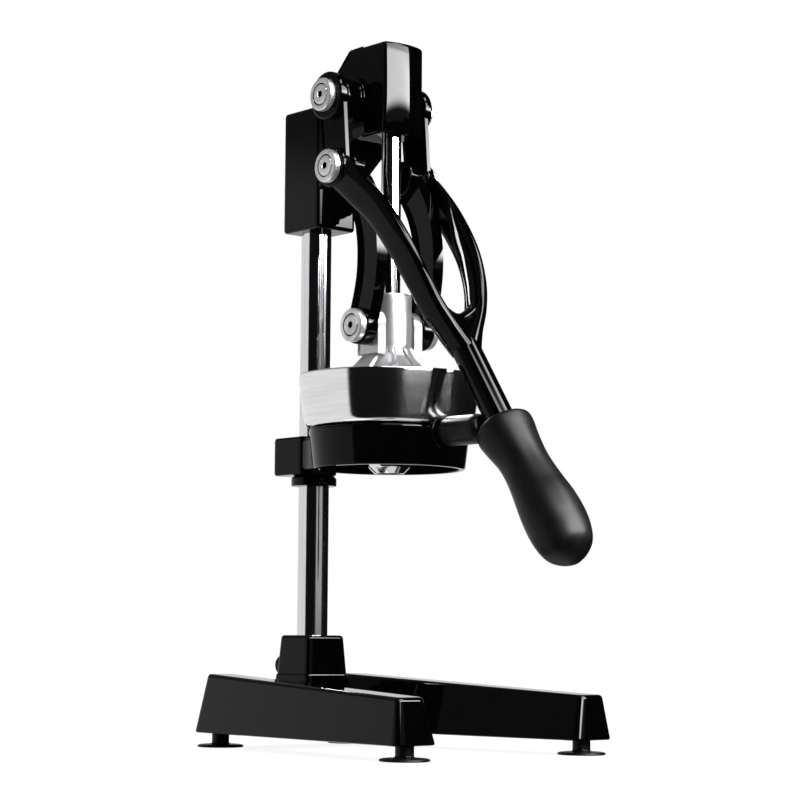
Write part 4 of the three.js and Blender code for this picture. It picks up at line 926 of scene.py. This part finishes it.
def hexagon_radius(across_flats, turn):
    """A hexagon's reach from its middle in one direction."""
    flat = (turn + math.pi / 6) % (math.pi / 3) - math.pi / 6
    return across_flats / 2 / math.cos(flat)


for group, pin, cup_at, screw_end, bodies in (
    ("head_pivot", head_pin, 38.9, 20, ("root", "root")),
    ("lever_link", link_pin, 38.9, 20, ("link_left", "link_right")),
    ("presser_link", lug_pin, 28.1, 9.5, ("link_left", "link_right")),
):
    for side, place, body in ((-1, "left", bodies[0]), (1, "right", bodies[1])):
        cup_base, screw_base = (at(side * across, *pin) for across in (cup_at, cup_at + screw_seat))
        cup = bmesh.new()
        spin(cup, eased(cup_profile, 0.3) + [(cup_hole, 0)], cup_base, (side, 0, 0), 96)
        names = f"{group}_dish_{place}", f"{group}_cup_{place}"
        dish = piece(names[0], cup, satin, "chrome_plate", body, names[1])
        # The cup's groove gets black enamel as painted shade.
        paint_recess_shade(dish, cup_base, side, radius=groove_radius, low=1, high=5)
        reach = cup_at + screw_seat - screw_end
        screw_profile = [
            (0, -reach), (4, -reach), (4, 0), (6.6, 0), (6.6, 1.5), (6.2, 2), (5, head_high),
            (head_round, head_high),
        ]
        screw = bmesh.new()
        spin(screw, eased(screw_profile, 0.25), screw_base, (side, 0, 0), 72)
        socket = []
        for depth, across_flats in ((head_high, None), (head_high, 4.3), (1.9, 4), (-socket_floor, 4)):
            ring = []
            for turn in turns(socket_steps):
                radius = hexagon_radius(across_flats, turn) if across_flats else head_round
                off = Vector((side * depth, -math.cos(turn) * radius, math.sin(turn) * radius))
                ring.append(screw_base + off / 1000)
            socket.append(ring)
        tip = screw_base + Vector((-side * socket_tip, 0, 0)) / 1000
        skin(screw, [*socket, [tip]], ends=False)
        names = f"{group}_button_{place}", f"{group}_screw_{place}"
        button = piece(names[0], screw, satin, "chrome_plate", body, names[1])
        # The hexagon socket gets black enamel as painted shade, partly also standing for oil.
        paint_recess_shade(button, screw_base, side, radius=2.4, low=-2, high=1.95)

# Push rod: chromed round bar that slides in the cap's two bushes and carries the presser.
# A screw from below draws it into the presser's barrel.
rod_radius, rod_foot, rod_head = 6.3, 254.9, 444.5
rod = bmesh.new()
spin(rod, eased(bar(rod_radius, rod_foot, rod_head), 1.2, 4), at(0, 0, 0), (0, 0, 1), 80)
piece("slide_rod", rod, chrome, "chrome_plate", "presser", "push_rod")

# Presser: tumbled cast aluminium, a barrel with two lugs over a bell with ten ribs, hollow below.
# It squashes half a fruit onto the reamer cone.
presser = bmesh.new()
barrel_low, barrel_high, bell_ribs, bell_steps = 249.67, 285.57, 10, 240
crest_high, crest_half, crest_steep, crest_out, crest_up = 1.7, 1.7, 3.2, 0.8, 0.6
barrel_top = ((6.4, 6), (6.4, 0.6), (6.9, 0), (12.4, 0), (13.2, 0.35), (13.6, 1.3))
bell_outside = (
    (13.6, -2.5), (14.2, 0), (16.6, 4), (21, 8.5), (26.6, 14.5), (33.2, 22.7), (38, 29.5), (41, 35),
)
bell_inside = (
    (40.8, 35.4), (40.2, 35.5), (38.6, 35.5), (37.9, 35.2), (34.6, 29.8), (29.8, 22.8), (23.2, 15),
    (17.4, 10), (10.8, 5), (5, 4.8), (5, -1),
)


def bell_ring(radius, up, proud=0):
    """A ring of the presser at a height, with ribs that stand proud of it."""
    ring = []
    for turn in turns(bell_steps):
        off = abs((turn * bell_ribs / (2 * math.pi) + 0.5) % 1 - 0.5) * 2 * math.pi / bell_ribs * radius
        crest = proud / (1 + math.exp((off - crest_half) * crest_steep))
        reach = radius + crest * crest_out
        ring.append(at(reach * math.sin(turn), reach * math.cos(turn), up + crest * crest_up))
    return ring


rings = [bell_ring(radius, barrel_high - drop) for radius, drop in barrel_top]
bell_line = smooth_path([(radius, barrel_low - drop) for radius, drop in bell_outside], 4)
for i, (radius, up) in enumerate(bell_line):
    share = i / (len(bell_line) - 1)
    rings.append(bell_ring(radius, up, crest_high * min(1, 6 * share, 9 * (1 - share))))
rings += [bell_ring(radius, barrel_low - drop) for radius, drop in bell_inside]
skin(presser, rings)
lug_half, lug_low, lug_middle, lug_inner, lug_outer, lug_steps = 9.8, 246.5, 266.2, 12.1, 18.4, 28
lug_turns = (math.pi * (1 - i / lug_steps) for i in range(lug_steps + 1))
lug_round = [(lug_half * math.cos(turn), lug_middle + lug_half * math.sin(turn)) for turn in lug_turns]
lug = [(-lug_half, lug_low), *lug_round, (lug_half, lug_low)]
for side in (-1, 1):
    plate(presser, lug, *side_faces(side, lug_inner, lug_outer), 1.1)
piece("presser_bell", presser, tumbled, "cast_aluminium", "presser", "presser_casting", sharp=44)

# Parts kept from the CAD: washers, spacers, set screws and studs in plated steel, bronze bushes
# and the slotted strainer plate, each with its own finish and a softened edge.
bronze = finish(
    "bronze", (0.36, 0.19, 0.07), (0.48, 0.27, 0.11), (0.24, 0.42), metal=1, scale=150, bump=0.00002,
)
pairs = [(group, side) for group in ("head_pivot", "lever_link") for side in ("left", "right")]
steel_names = [
    "column_washer", "column_bolt", "socket_set_screw", "head_set_screw_lower", "head_set_screw_upper",
    "bracket_set_screw", "lock_set_screw", "bumper_stud", "rod_screw",
    *(f"foot_stud_{place}" for place, _, _ in foot_places),
    *(f"{group}_spacer_{side}" for group, side in pairs),
]
bronze_names = ["guide_bush_lower", "guide_bush_upper", *(f"{group}_bush_{side}" for group, side in pairs)]
for names, material in ((steel_names, plated), (bronze_names, bronze), (["strainer_plate"], stainless)):
    for name in names:
        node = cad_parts[name]
        node.data.materials.clear()
        node.data.materials.append(material)
        soften = node.modifiers.new("soft_edges", "BEVEL")
        soften.width = 0.00025
        soften.segments = 2
        soften.limit_method = "ANGLE"
        soften.angle_limit = math.radians(40)

scene = bpy.context.scene
scene.render.resolution_x = scene.render.resolution_y = 800
